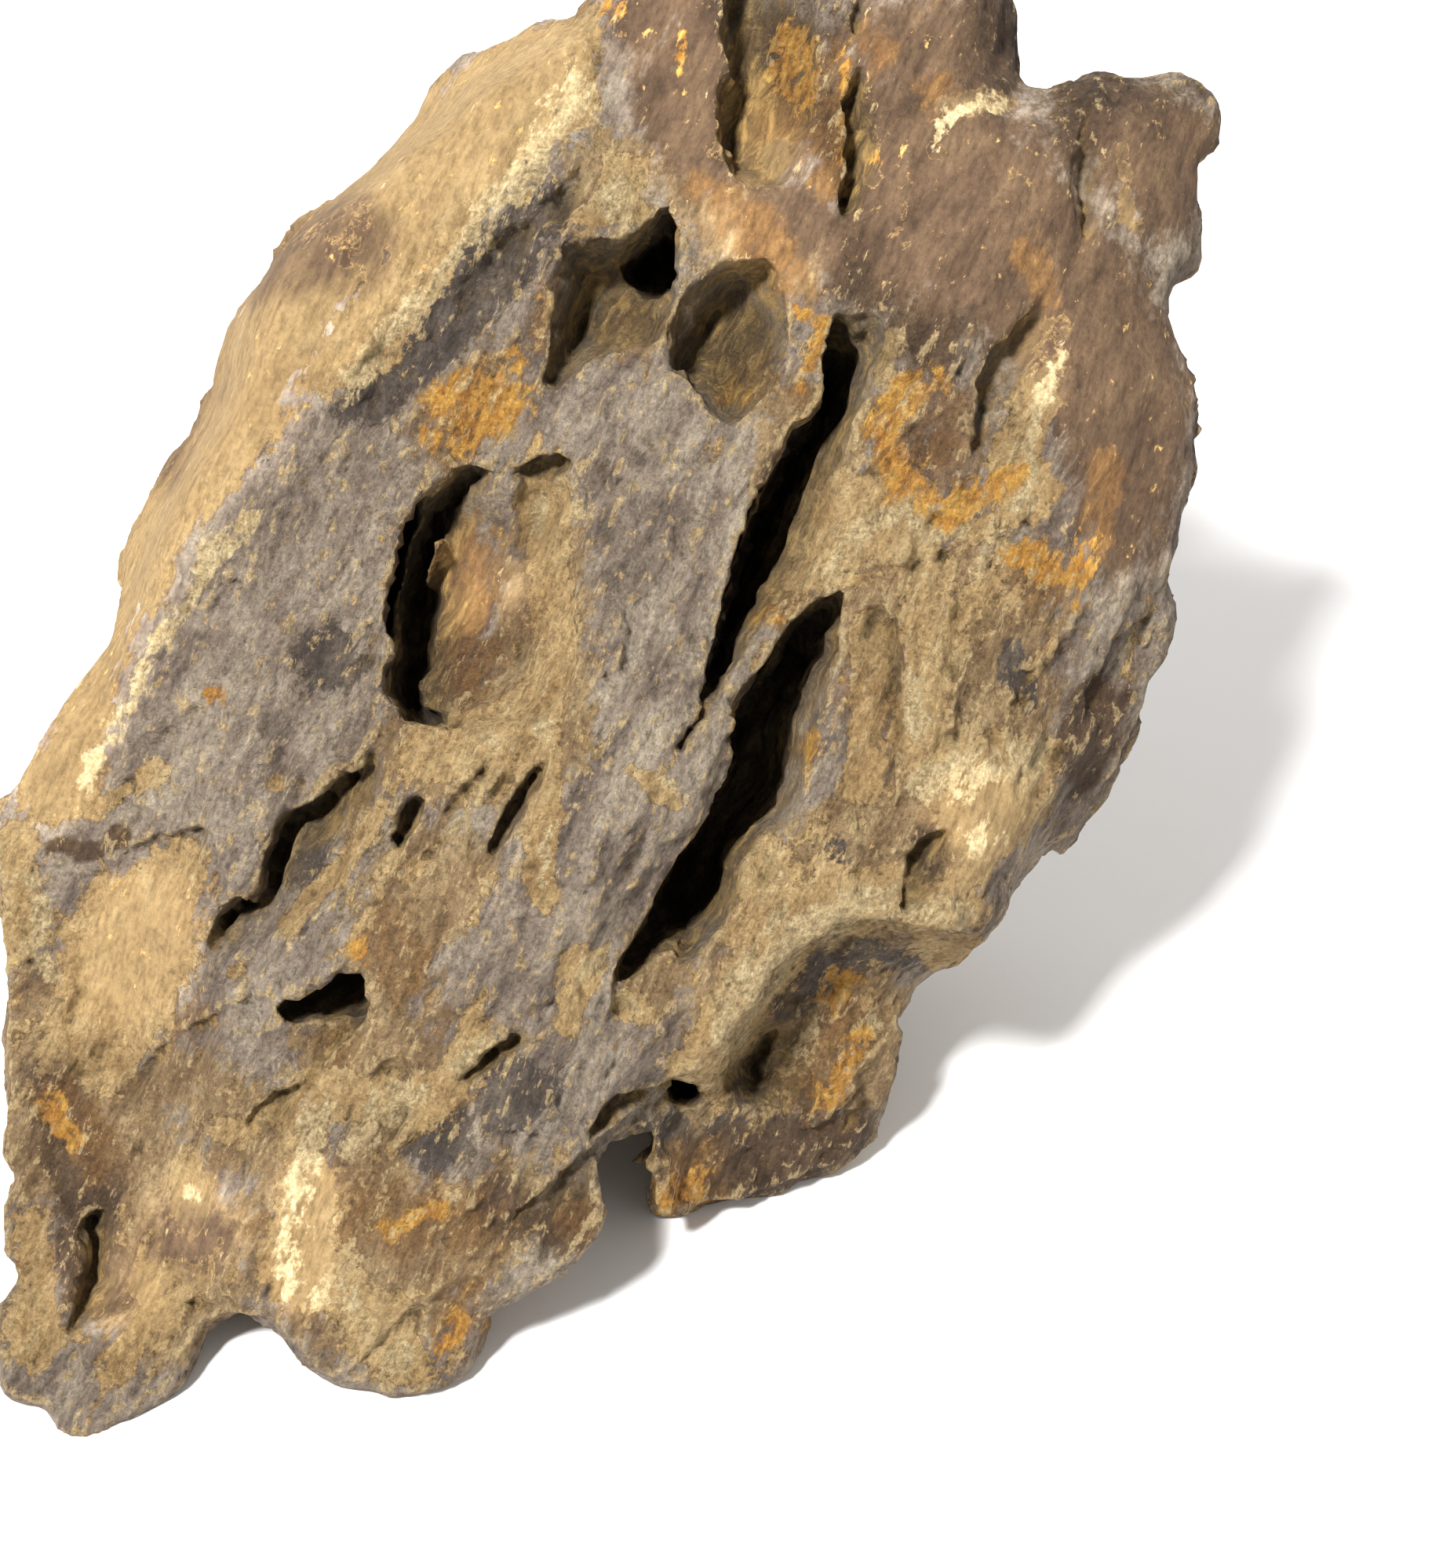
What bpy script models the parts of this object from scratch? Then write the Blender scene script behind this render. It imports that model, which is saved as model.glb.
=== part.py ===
"""Aquarium dragon stone: one leaning piece of pitted, layered rock.

The stone is drawn in millimetres in the frame of its broad front face: u runs to the right, v up the
face and w out of it. The face leans back, and the stone stands on the lobes of its underside, which the
ground cuts flat. A blank is filled in between a front and a back surface, raised forms are joined to it,
it is roughened, and then its hollows are cut.
"""

import math

import bmesh
import bpy
import numpy as np
from mathutils import Vector, noise
from mathutils.bvhtree import BVHTree
from mathutils.geometry import delaunay_2d_cdt

MM = 0.001
# How far the face leans back, how high its origin stands, and how deep the feet reach into the ground.
FACE_LEAN = math.radians(36)
FACE_HEIGHT = 98
FOOT_DEPTH = 3
# How steeply the surfaces rise from the rim and fall off the broken edge, and how widely they blend.
FRONT_SLOPE = 2.6
BACK_SLOPE = 1.5
BREAK_SLOPE = 4.5
BACK_BLEND = 9
RIM_BLEND = 3
LEAST_HALF_THICKNESS = 0.6

# The steps between points along the rim, over the grid and along a form's middle line.
RIM_STEP = 3.0
GRID_STEP = 3.2
LINE_STEP = 3.0
SECTION_POINTS = 9
# How far the rounding of a form's ends starts past its last points, so that they keep some size.
END_SIZE = 0.15
# A hollow's mouth is wider than its floor and open this far above the skin. A floor with a roundness
# of 1 is a half circle, and a lower one is flatter.
MOUTH_WIDTH = 1.2
MOUTH_RISE = 14
FLOOR_ROUNDNESS = 0.7
# Rays that look for the skin start this far out.
FAR_OUT = 400
# The block of ground that the feet are cut off with.
GROUND_HALF_WIDTH = 300
GROUND_DEPTH = 80

BLANK_VOXEL = 2.3
CUTTER_VOXEL = 1.6
STONE_VOXEL = 1.7
TRIANGLES = 9400

# The roughness of the blank and of the finished skin: heights, wavelengths, and stretch along the grain.
GRAIN_ANGLE = math.radians(60)
WAVE_HEIGHT, WAVE_SIZE, WAVE_STRETCH = 3.0, 34, 2
BACK_WAVE_HEIGHT = 5
BUMP_HEIGHT, BUMP_SIZE, BUMP_STRETCH = 1.1, 9, 1.6
OCTAVES = 3
OCTAVE_OFFSET = Vector((7, 3, 11))

STONE_COLOUR = (0.36, 0.27, 0.17, 1)
STONE_ROUGHNESS = 0.9

# Points (u, v, w) of the edge seen from in front, from the toe up the left side and round.
OUTLINE = [
    (-124, -129, 3), (-130, -120, -2), (-139, -120, -5), (-143, -108, -16), (-142, -95, -20),
    (-144, -83, -24), (-141, -77, -26), (-147, -68, -29), (-149, -55, -31), (-147, -39, -31),
    (-148, -21, -31), (-144, -5, -30), (-136, 11, -33), (-129, 30, -36), (-124, 51, -38),
    (-117, 67, -44), (-111, 78, -48), (-109, 97, -54), (-100, 116, -58), (-91, 126, -58),
    (-78, 136, -56), (-65, 145, -52), (-55, 152, -44), (-47, 151, -40), (-37, 155, -34),
    (-27, 157, -28), (-21, 165, -26), (-17, 175, -26), (-7, 183, -26), (0, 184, -26),
    (10, 192, -28), (22, 192, -30), (29, 187, -32), (45, 184, -34), (56, 176, -36),
    (63, 163, -38), (63, 150, -38), (60, 140, -36), (66, 141, -42), (75, 146, -44),
    (83, 149, -46), (93, 154, -46), (102, 150, -46), (106, 137, -46), (101, 127, -44),
    (103, 117, -44), (102, 107, -42), (95, 104, -40), (94, 92, -38), (99, 84, -38),
    (99, 73, -38), (95, 56, -36), (91, 36, -34), (87, 20, -36), (82, 7, -40),
    (73, -8, -44), (64, -27, -48), (52, -41, -50), (43, -44, -50), (37, -56, -51),
    (37, -65, -52), (24, -84, -54), (6, -89, -48), (-12, -95, -40), (-20, -92, -38),
    (-21, -82, -32), (-21, -71, -20), (-26, -77, -8), (-24, -84, -5), (-28, -92, -4),
    (-35, -97, -4), (-46, -103, -4), (-49, -114, -6), (-56, -118, -6), (-65, -120, -6),
    (-75, -117, -6), (-82, -112, -6), (-87, -105, -6), (-96, -102, -8), (-99, -106, -10),
    (-104, -117, -6), (-112, -124, -3), (-118, -129, -1),
]

# The main plate ends along this broken edge, and a deeper shelf lies below and right of it.
BREAK_LINE = [
    (-27, -71, 0), (-19, -61, 0), (-11, -57, 0), (-3, -59, -6), (1, -48, -10), (10, -33, -10),
    (21, -25, -10), (28, -23, -8), (41, -25, -8), (48, -26, -10), (58, -23, -14),
]
SHELF_CORNERS = [(84, -30, 0), (60, -100, 0), (-20, -110, 0)]

# Heights (u, v, w) of the main plate and of the shelf.
PLATE_HEIGHTS = [
    (-74, 60, 2), (-94, 36, 0), (-109, 11, -3), (-121, -6, -6), (-77, 26, -6), (-89, 15, -1),
    (-68, 12, 1), (-112, -30, -5), (-131, -31, -12), (-11, 45, 4), (-7, 15, 4), (-18, -15, 5),
    (-48, -37, 5), (-33, -52, 4), (-63, -67, 3), (-78, -74, 3), (-102, -76, -4), (-123, -70, -12),
    (-48, -90, 1), (-71, -105, 0), (-120, -96, -12), (-133, -92, -10), (-103, -98, -5),
    (-121, -115, 1), (-122, -124, 4), (-110, -116, 0), (-55, 100, 0), (-46, 94, -6), (-28, 128, 0),
    (-21, 115, 3), (-34, 103, -3), (-14, 124, -2), (-7, 142, -3), (-4, 111, 0), (17, 105, 0),
    (42, 106, -2), (42, 137, -6),
    (50, 154, -10), (12, 172, -8), (65, 100, -8), (83, 126, -18), (95, 111, -22), (73, 69, -8),
    (85, 63, -16), (42, 83, -1), (34, 60, -3), (65, 46, -6), (27, 49, -8), (29, 15, -12),
    (27, -8, -13), (47, 30, -5), (54, 15, -6), (49, -5, -4), (63, 0, -14), (39, -23, -6),
    (19, -20, -12), (4, -31, -14), (-8, -51, -12),
]
SHELF_HEIGHTS = [
    (20, -42, -24), (12, -57, -27), (33, -37, -24), (45, -34, -30), (4, -70, -29), (27, -62, -33),
    (-4, -83, -34), (-17, -88, -34), (20, -77, -40), (-14, -70, -27), (-22, -76, -30),
]

# How far the back stands out (u, v, y): two rough buttresses with a hollow between them.
BACK_HEIGHTS = [
    (-120, 0, 96), (-95, 40, 112), (-80, 90, 118), (-60, 20, 104), (-40, 60, 100), (-30, 110, 112),
    (-10, 20, 88), (-5, 70, 92), (0, 110, 108), (5, 160, 122), (25, 60, 104), (45, 20, 112),
    (50, 80, 120), (45, 130, 122), (70, 40, 106), (85, 100, 112), (-60, 120, 116), (30, 180, 128),
    (-100, -40, 84), (-20, -40, 80), (50, -40, 96), (-100, 100, 112),
]

# Raised forms. Each is (u, v, w, half width, half height) along its middle line.
FACE_LUMPS = {
    "ledge ridge": [(56, -24, -13, 3, 4), (44, -29, -11, 4.5, 5), (26, -25, -11, 4.5, 5),
                    (10, -30, -13, 5, 6), (1, -46, -14, 5, 6), (-8, -57, -12, 4, 5)],
    "dividing wall": [(34, 44, -12, 3, 5), (25, 36, -11, 3, 7), (12, 27, -11, 2.6, 9),
                      (0, 14, -11, 2.4, 9), (-8, 4, -8, 2, 6)],
    "lower flake": [(-22, -74, -4, 2.5, 3), (-27, -84, -3, 6, 3.2), (-34, -92, -3, 5, 3.5),
                    (-43, -99, -3, 3, 3)],
    "reddish plate": [(26, -50, -31, 4, 5), (22, -56, -31, 7, 5), (14, -62, -33, 6, 4)],
    "pale flake": [(-11, -54, -10, 3, 3), (-7, -56, -9, 4, 3), (-4, -60, -9, 2, 2)],
    "cream sliver": [(-22, -40, -6, 2, 3), (-21, -45, -4, 3.5, 4), (-19, -49, -4, 3, 3)],
    "right fin": [(93, 40, -34, 3, 5), (86, 26, -30, 4, 6), (79, 12, -30, 4, 6), (68, -8, -36, 3, 5),
                  (60, -22, -40, 3, 4)],
    "outer fin": [(92, 28, -42, 3, 5), (84, 8, -44, 4, 6), (72, -12, -48, 4, 6), (58, -32, -52, 3, 5)],
    "bowl lip": [(-6, 94, -1, 2, 2.5), (-10, 86, 0, 2.2, 2.5), (-7, 77, 1, 2, 2)],
    "pit lip": [(-8, 112, -1, 2, 2), (-7, 104, 0, 2.4, 2.6), (-12, 96, 0, 2, 2)],
    "top knob": [(-52, 148, -40, 5, 5), (-49, 142, -34, 6, 6), (-46, 134, -26, 4, 5)],
    "nub head": [(88, 146, -36, 6, 7), (96, 140, -32, 7, 8), (98, 128, -33, 5, 7)],
    "nub block": [(72, 128, -26, 4, 6), (76, 140, -32, 6, 7), (84, 144, -36, 5, 6)],
    "layered edge": [(36, -60, -48, 4, 4), (26, -76, -50, 5, 4), (8, -84, -47, 5, 4), (-8, -89, -42, 4, 4)],
    "step": [(36, -48, -40, 4, 3), (33, -62, -43, 5, 3), (18, -72, -44, 5, 3), (2, -74, -42, 4, 3)],
}

# Hollows of the face. Each is a middle line of (u, v, half width, depth), and how far its floor
# leans sideways for each millimetre of depth.
FACE_HOLLOWS = {
    "big pit": ([(-45, 64, 3, 22), (-51, 55, 8, 38), (-55, 40, 10.5, 44), (-57, 27, 9, 40),
                 (-61, 15, 4.5, 24)], (-0.28, 0.05)),
    "big trough": ([(-34, 60, 5, 7), (-36, 46, 8, 12), (-38, 33, 8.5, 12), (-44, 19, 5, 6)],
                   (-0.5, 0)),
    "lipped pit": ([(-42, 61, 3, 4), (-35, 62.5, 4, 10), (-29, 61, 2, 6)], (0.2, 0.3)),
    "slanted pit": ([(-12, 110, 4.5, 20), (-18, 101, 6.5, 24), (-25, 89, 5, 16), (-31, 76, 2.2, 7)],
                    (0.1, 0.35)),
    "slanted pit wall": ([(-27, 103, 3, 5), (-29, 92, 4, 8), (-33, 80, 2.5, 5)], (0.3, 0)),
    "bowl": ([(8, 97, 6, 9), (2, 86, 10, 17), (-4, 74, 5, 8)], (0.1, -0.1)),
    "upper crevice": ([(28, 93, 2.6, 20), (23, 80, 4, 44), (15, 63, 5.2, 50), (8, 46, 5.2, 50),
                       (2, 30, 4, 44), (-4, 18, 2.6, 30), (-9, 6, 1.6, 14)], (-0.34, 0.1)),
    "upper wall": ([(33, 78, 3, 5), (29, 64, 6, 9), (20, 50, 7, 11), (11, 36, 4, 8)], (-0.4, 0)),
    "lower crevice": ([(26, 38, 2.6, 22), (19, 27, 4.6, 46), (12, 11, 6, 52), (5, -3, 6, 52),
                       (-2, -16, 6.2, 50), (-8, -29, 5, 40), (-13, -40, 2, 18)], (-0.3, 0.1)),
    "crevice wall": ([(24, 26, 3, 4), (20, 8, 6, 8), (11, -9, 6, 8), (3, -24, 4, 6)], (-0.5, 0)),
    "left slot": ([(-66, 7, 2.5, 6), (-74, -2, 6, 10), (-83, -13, 8, 12), (-91, -24, 6, 10),
                   (-99, -34, 2.5, 4)], (-0.5, 0.2)),
    "small hole": ([(-59, -2, 1.8, 8), (-61, -7, 2.8, 14), (-63, -13, 1.8, 8)], (-0.1, 0.1)),
    "leaf recess": ([(-33, 7, 3, 3), (-40, -6, 7, 6), (-47, -17, 2.5, 2)], (0, 0)),
    "leaf slit": ([(-35, 2, 1.2, 12), (-40, -6, 2.2, 22), (-45, -14, 1.2, 12)], (-0.1, 0.1)),
    "kidney hole": ([(-84, -44, 2.6, 16), (-77, -40, 4.2, 26), (-69, -38, 3.6, 24)], (0, 0.15)),
    "kidney channel": ([(-70, -40, 4, 8), (-74, -50, 5, 5), (-82, -58, 3, 2.5)], (0, 0)),
    "short slit": ([(-52, -57, 1.5, 5), (-45, -52, 2.6, 11), (-38, -49, 1.5, 7)], (0, 0.3)),
    "toe recess": ([(-127, -81, 3, 9), (-124, -93, 7, 11), (-123, -106, 5, 7)], (-0.2, 0.1)),
    "edge slot": ([(-25, -66, 1.8, 9), (-18, -61, 3, 14), (-11, -58, 1.8, 10)], (0, 0.3)),
    "top slot": ([(27, 139, 1.4, 8), (26, 124, 2.8, 15), (25, 109, 1.6, 9)], (-0.1, 0)),
    "top scoop": ([(6, 164, 6, 8), (9, 142, 9, 14), (9, 120, 6, 9)], (-0.35, 0)),
    "sandy groove": ([(64, 92, 2.2, 4), (56, 76, 4.5, 8), (52, 58, 3, 4)], (-0.4, 0)),
    "fin groove": ([(84, 33, 2, 5), (79, 23, 3.6, 9), (73, 12, 2, 5)], (0, 0)),
    "right cleft": ([(46, -9, 2, 5), (38, -15, 3.4, 9), (30, -20, 2, 5)], (0, 0.3)),
    "nub groove": ([(72, 132, 2, 4), (71, 120, 3, 7), (72, 106, 2, 4)], (0, 0)),
    "nub recess": ([(82, 131, 3, 3), (80, 118, 4.5, 5), (79, 108, 2.5, 3)], (-0.3, 0)),
    "shelf crack": ([(14, -52, 1.4, 7), (8, -60, 2.2, 10), (4, -67, 1.4, 7)], (0, 0.3)),
    "shelf undercut": ([(32, -67, 2, 8), (19, -74, 3, 12), (5, -77, 2, 8)], (0, 0.5)),
    "plate gap": ([(-15, -66, 2.5, 10), (-8, -64, 3.6, 14), (-3, -65, 2, 8)], (0, 0.3)),
    "dent": ([(-72, 36, 4, 2), (-77, 26, 10, 4), (-84, 16, 5, 2)], (0, 0)),
    "crescent": ([(-24, 124, 3, 1.5), (-34, 108, 5, 3), (-46, 94, 5, 3), (-56, 82, 4, 1.5)], (0, 0)),
}

# Hollows of the other sides, in each side's own two directions and in the same form.
BACK_HOLLOWS = {
    "deep pit": ([(-62, 132, 6, 22), (-50, 112, 11, 36), (-44, 92, 8, 24)], (0.2, -0.1)),
    "long groove": ([(30, 176, 5, 12), (24, 146, 8, 20), (10, 116, 7, 22), (4, 92, 4, 10)], (0.3, 0)),
    "wide hollow": ([(-14, 72, 7, 12), (-10, 52, 12, 20), (-8, 34, 9, 14)], (0, 0)),
    "right pit": ([(74, 120, 4, 12), (66, 104, 8, 22), (62, 90, 5, 12)], (-0.2, 0)),
    "left slit": ([(-96, 110, 2.5, 10), (-92, 90, 4, 20), (-94, 66, 3, 12)], (0, 0)),
    "side bowl": ([(-84, 56, 8, 8), (-76, 40, 12, 14), (-72, 28, 7, 8)], (0, 0.2)),
    "foot groove": ([(48, 70, 4, 8), (40, 46, 6, 16), (36, 20, 4, 10)], (0, 0)),
    "high slit": ([(60, 176, 2, 8), (52, 160, 3.2, 14), (48, 142, 2, 8)], (0, 0)),
    "small pit": ([(66, 66, 4, 8), (64, 54, 6, 14), (62, 44, 4, 8)], (0, 0)),
    "small hole": ([(-28, 150, 3, 10), (-32, 142, 4, 14)], (0, 0)),
    "low hole": ([(-50, 50, 3, 8), (-46, 40, 4.5, 14), (-48, 30, 3, 8)], (0, 0)),
}
LEFT_HOLLOWS = {
    "flank furrow": ([(72, 166, 4, 4), (50, 136, 6, 7), (30, 112, 4, 5)], (0, 0)),
    "flank pit": ([(52, 120, 4, 8), (46, 100, 7, 16), (40, 84, 4, 8)], (0, 0)),
    "flank slit": ([(20, 96, 2, 6), (10, 76, 3.4, 12), (2, 58, 2, 6)], (0, 0)),
    "low bowl": ([(60, 62, 8, 8), (50, 44, 11, 14), (40, 30, 7, 8)], (0, 0)),
    "back slot": ([(84, 110, 3, 8), (80, 84, 4, 14), (84, 60, 3, 8)], (0, 0)),
}
RIGHT_HOLLOWS = {
    "tall slot": ([(86, 168, 2.5, 8), (72, 140, 4, 16), (64, 116, 3, 8)], (0, 0)),
    "layer gap": ([(60, 110, 2, 7), (44, 84, 3.2, 14), (34, 62, 2, 8)], (0, 0)),
    "deep pit": ([(82, 92, 5, 12), (74, 74, 9, 22), (72, 58, 5, 12)], (0, 0)),
    "low slot": ([(60, 40, 3, 8), (48, 30, 5, 12), (38, 20, 3, 8)], (0, 0)),
}
UNDER_HOLLOWS = {
    "toe arch": ([(-98, -52, 6, 6), (-92, -36, 9, 12), (-88, -16, 6, 8)], (0, 0)),
    "cross groove": ([(-70, 30, 7, 8), (-40, 42, 9, 12), (-10, 50, 7, 10)], (0, 0)),
    "heel pit": ([(30, 30, 6, 8), (44, 50, 8, 12), (52, 66, 6, 6)], (0, 0)),
}


class Side:
    """A drawing plane with its origin, its own directions a and b, and out, away from the stone."""

    def __init__(self, origin, a, b, out):
        self.origin, self.a, self.b, self.out = Vector(origin), Vector(a), Vector(b), Vector(out)

    def place(self, a, b, out):
        return self.origin + self.a * a + self.b * b + self.out * out


SIN, COS = math.sin(FACE_LEAN), math.cos(FACE_LEAN)
FACE = Side((0, 0, FACE_HEIGHT), (1, 0, 0), (0, SIN, COS), (0, -COS, SIN))
BACK = Side((0, 0, 0), (1, 0, 0), (0, 0, 1), (0, 1, 0))
LEFT = Side((0, 0, 0), (0, 1, 0), (0, 0, 1), (-1, 0, 0))
RIGHT = Side((0, 0, 0), (0, 1, 0), (0, 0, 1), (1, 0, 0))
UNDER = Side((0, 0, 0), (1, 0, 0), (0, 1, 0), (0, 0, -1))


def clear_scene():
    for obj in list(bpy.data.objects):
        bpy.data.objects.remove(obj, do_unlink=True)


def resampled(line, step, closed=False):
    """Points about one step apart along a polyline whose points may carry more values than two."""
    line = np.array(line + line[:1] if closed else line, float)
    lengths = np.linalg.norm(np.diff(line[:, :2], axis=0), axis=1)
    places = np.concatenate([[0], np.cumsum(lengths)])
    count = max(2, round(places[-1] / step) + 1)
    at = np.linspace(0, places[-1], count)
    points = np.column_stack([np.interp(at, places, column) for column in line.T])
    return points[:-1] if closed else points


def smoothed(line, step):
    """A smooth curve through a short list of stations, read off every step millimetres."""
    line = np.array(line, float)
    ends = np.vstack([2 * line[0] - line[1], line, 2 * line[-1] - line[-2]])
    rows = []
    for before, start, end, after in zip(ends, ends[1:], ends[2:], ends[3:]):
        count = max(1, round(np.linalg.norm((end - start)[:2]) / step))
        for t in np.arange(count) / count:
            rows.append(0.5 * (2 * start + (end - before) * t
                               + (2 * before - 5 * start + 4 * end - after) * t ** 2
                               + (3 * start - before - 3 * end + after) * t ** 3))
    return np.array(rows + [line[-1]])


def nearest(points, line):
    """The distance from each point to a polyline (u, v, w), and the line's w there."""
    start, along = line[:-1], np.diff(line, axis=0)
    offset = points[:, None, :2] - start[None, :, :2]
    length = (along[:, :2] ** 2).sum(axis=1)
    t = np.clip((offset * along[None, :, :2]).sum(axis=2) / length, 0, 1)
    gap = np.linalg.norm(offset - t[:, :, None] * along[None, :, :2], axis=2)
    best = gap.argmin(axis=1)
    row = np.arange(len(points))
    return gap[row, best], start[best, 2] + t[row, best] * along[best, 2]


def inside(points, corners):
    """Which points lie inside a polygon."""
    found = np.zeros(len(points), bool)
    for a, b in zip(corners, np.roll(corners, -1, axis=0)):
        crosses = (a[1] > points[:, 1]) != (b[1] > points[:, 1])
        rise = b[1] - a[1] if b[1] != a[1] else 1
        found ^= crosses & (points[:, 0] < (b[0] - a[0]) * (points[:, 1] - a[1]) / rise + a[0])
    return found


def thin_plate(spots):
    """A smooth surface through the given heights, as a function of points (u, v)."""
    spots = np.array(spots, float)

    def bend(a, b):
        square = ((a[:, None, :2] - b[None, :, :2]) ** 2).sum(axis=2)
        return square * np.log(square + 1e-9)

    flat = np.column_stack([np.ones(len(spots)), spots[:, :2]])
    system = np.block([[bend(spots, spots), flat], [flat.T, np.zeros((3, 3))]])
    weights = np.linalg.solve(system, np.concatenate([spots[:, 2], np.zeros(3)]))

    def height(points):
        plane = np.column_stack([np.ones(len(points)), points[:, :2]])
        return bend(points, spots) @ weights[:-3] + plane @ weights[-3:]

    return height


def smooth_max(a, b, blend):
    """The higher of two surfaces, rounded where they meet."""
    mix = np.clip(0.5 + 0.5 * (a - b) / blend, 0, 1)
    return b + (a - b) * mix + blend * mix * (1 - mix)


def front_surface(points, rim):
    """w of the front: the plate down to the break line, the shelf past it, and slopes to the rim."""
    plate = thin_plate(PLATE_HEIGHTS)(points)
    shelf = thin_plate(SHELF_HEIGHTS)(points)
    edge = np.array(BREAK_LINE, float)
    past = inside(points, np.vstack([edge, SHELF_CORNERS])[:, :2])
    fall = nearest(points, edge)[0]
    front = np.where(past, np.maximum(plate - BREAK_SLOPE * fall, shelf), plate)
    gap, rim_w = nearest(points, rim)
    return np.minimum(front, rim_w + FRONT_SLOPE * gap)


def back_surface(points, rim):
    """w of the back: the ground below, a rough upright back above, and slopes to the rim."""
    ground = -(FACE_HEIGHT + FOOT_DEPTH + COS * points[:, 1]) / SIN
    stands_out = thin_plate(BACK_HEIGHTS)(points)
    upright = (SIN * points[:, 1] - stands_out) / COS
    gap, rim_w = nearest(points, rim)
    return smooth_max(smooth_max(ground, upright, BACK_BLEND), rim_w - BACK_SLOPE * gap, RIM_BLEND)


def grid_inside(rim):
    """Points of a triangular grid that lie well inside the outline."""
    low, high = rim[:, :2].min(axis=0), rim[:, :2].max(axis=0)
    rows = []
    for row, v in enumerate(np.arange(low[1], high[1], GRID_STEP * math.sin(math.radians(60)))):
        for u in np.arange(low[0] + (row % 2) * GRID_STEP / 2, high[0], GRID_STEP):
            rows.append((u, v, 0))
    points = np.array(rows)
    points = points[inside(points, rim[:, :2])]
    return points[nearest(points, np.vstack([rim, rim[:1]]))[0] > GRID_STEP / 2]


def blank_mesh():
    """The stone before its hollows: a front and a back sheet joined by a narrow rim."""
    rim = resampled(OUTLINE, RIM_STEP, closed=True)
    closed_rim = np.vstack([rim, rim[:1]])
    points = np.vstack([rim, grid_inside(rim)])
    count = len(rim)
    edges = [(i, (i + 1) % count) for i in range(count)]
    flat = [Vector((u, v)) for u, v, _ in points]
    triangles = delaunay_2d_cdt(flat, edges, [], 1, 1e-6)[2]
    front = front_surface(points, closed_rim)
    back = back_surface(points, closed_rim)
    front[:count] = rim[:, 2]
    back[:count] = rim[:, 2]
    middle = (front + back) / 2
    front = np.maximum(front, middle + LEAST_HALF_THICKNESS)
    back = np.minimum(back, middle - LEAST_HALF_THICKNESS)
    total = len(points)
    vertices = [FACE.place(u, v, w) for (u, v, _), w in zip(points, front)]
    vertices += [FACE.place(u, v, w) for (u, v, _), w in zip(points, back)]
    faces = [tuple(triangle) for triangle in triangles]
    faces += [tuple(total + i for i in reversed(triangle)) for triangle in triangles]
    faces += [(a, a + total, b + total, b) for a, b in edges]
    return vertices, faces


def joined_rings(rings):
    """A closed tube through rings of points, with flat ends."""
    size = len(rings[0])
    vertices = [point for ring in rings for point in ring]
    faces = []
    for level in range(len(rings) - 1):
        for i in range(size):
            j = (i + 1) % size
            low, high = level * size, (level + 1) * size
            faces.append((low + i, low + j, high + j, high + i))
    faces.append(tuple(reversed(range(size))))
    faces.append(tuple(range(len(vertices) - size, len(vertices))))
    return vertices, faces


def end_taper(line):
    """Shrinks the stations near both ends of a line, so that the form ends round."""
    lengths = np.linalg.norm(np.diff(line[:, :2], axis=0), axis=1)
    places = np.concatenate([[0], np.cumsum(lengths)])
    from_end = np.minimum(places, places[-1] - places) + END_SIZE
    reach = np.maximum(line[:, -2], 1)
    return np.sqrt(1 - (1 - np.clip(from_end / reach, 0, 1)) ** 2)


def cross_directions(line):
    """The unit direction across the line at each of its stations."""
    along = np.gradient(line[:, :2], axis=0)
    along /= np.linalg.norm(along, axis=1)[:, None]
    return np.column_stack([along[:, 1], -along[:, 0]])


def lump_mesh(side, stations):
    """A rounded bar along its middle line."""
    line = smoothed(stations, LINE_STEP)
    taper, across = end_taper(line), cross_directions(line)
    rings = []
    for (a, b, out, half, height), size, (da, db) in zip(line, taper, across):
        ring = []
        for i in range(SECTION_POINTS):
            angle = 2 * math.pi * i / SECTION_POINTS
            reach = half * size * math.cos(angle)
            ring.append(side.place(a + da * reach, b + db * reach, out + height * size * math.sin(angle)))
        rings.append(ring)
    return joined_rings(rings)


def hollow_mesh(side, stations, lean, skin):
    """The cutter of one hollow: a trough with a round floor, deep under the skin and open above it.

    A station that the skin doesn't reach takes the level of the one before it, and stations before the
    first that meets the stone are left out.
    """
    line = smoothed(stations, LINE_STEP)
    taper, across = end_taper(line), cross_directions(line)
    rings = []
    level = None
    for (a, b, half, depth), size, (da, db) in zip(line, taper, across):
        hit = skin.ray_cast(side.place(a, b, FAR_OUT) * MM, -side.out)[0]
        if hit is not None:
            level = (hit / MM - side.origin).dot(side.out)
        if level is None:
            continue
        ring = []
        for i in range(SECTION_POINTS):
            angle = math.pi * i / (SECTION_POINTS - 1)
            reach = half * size * math.cos(angle)
            down = depth * size * math.sin(angle) ** FLOOR_ROUNDNESS
            ring.append(side.place(a + da * reach + lean[0] * down, b + db * reach + lean[1] * down,
                                   level - down))
        for reach in (-MOUTH_WIDTH * half * size, MOUTH_WIDTH * half * size):
            ring.append(side.place(a + da * reach, b + db * reach, level + MOUTH_RISE))
        rings.append(ring)
    return joined_rings(rings)


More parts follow.
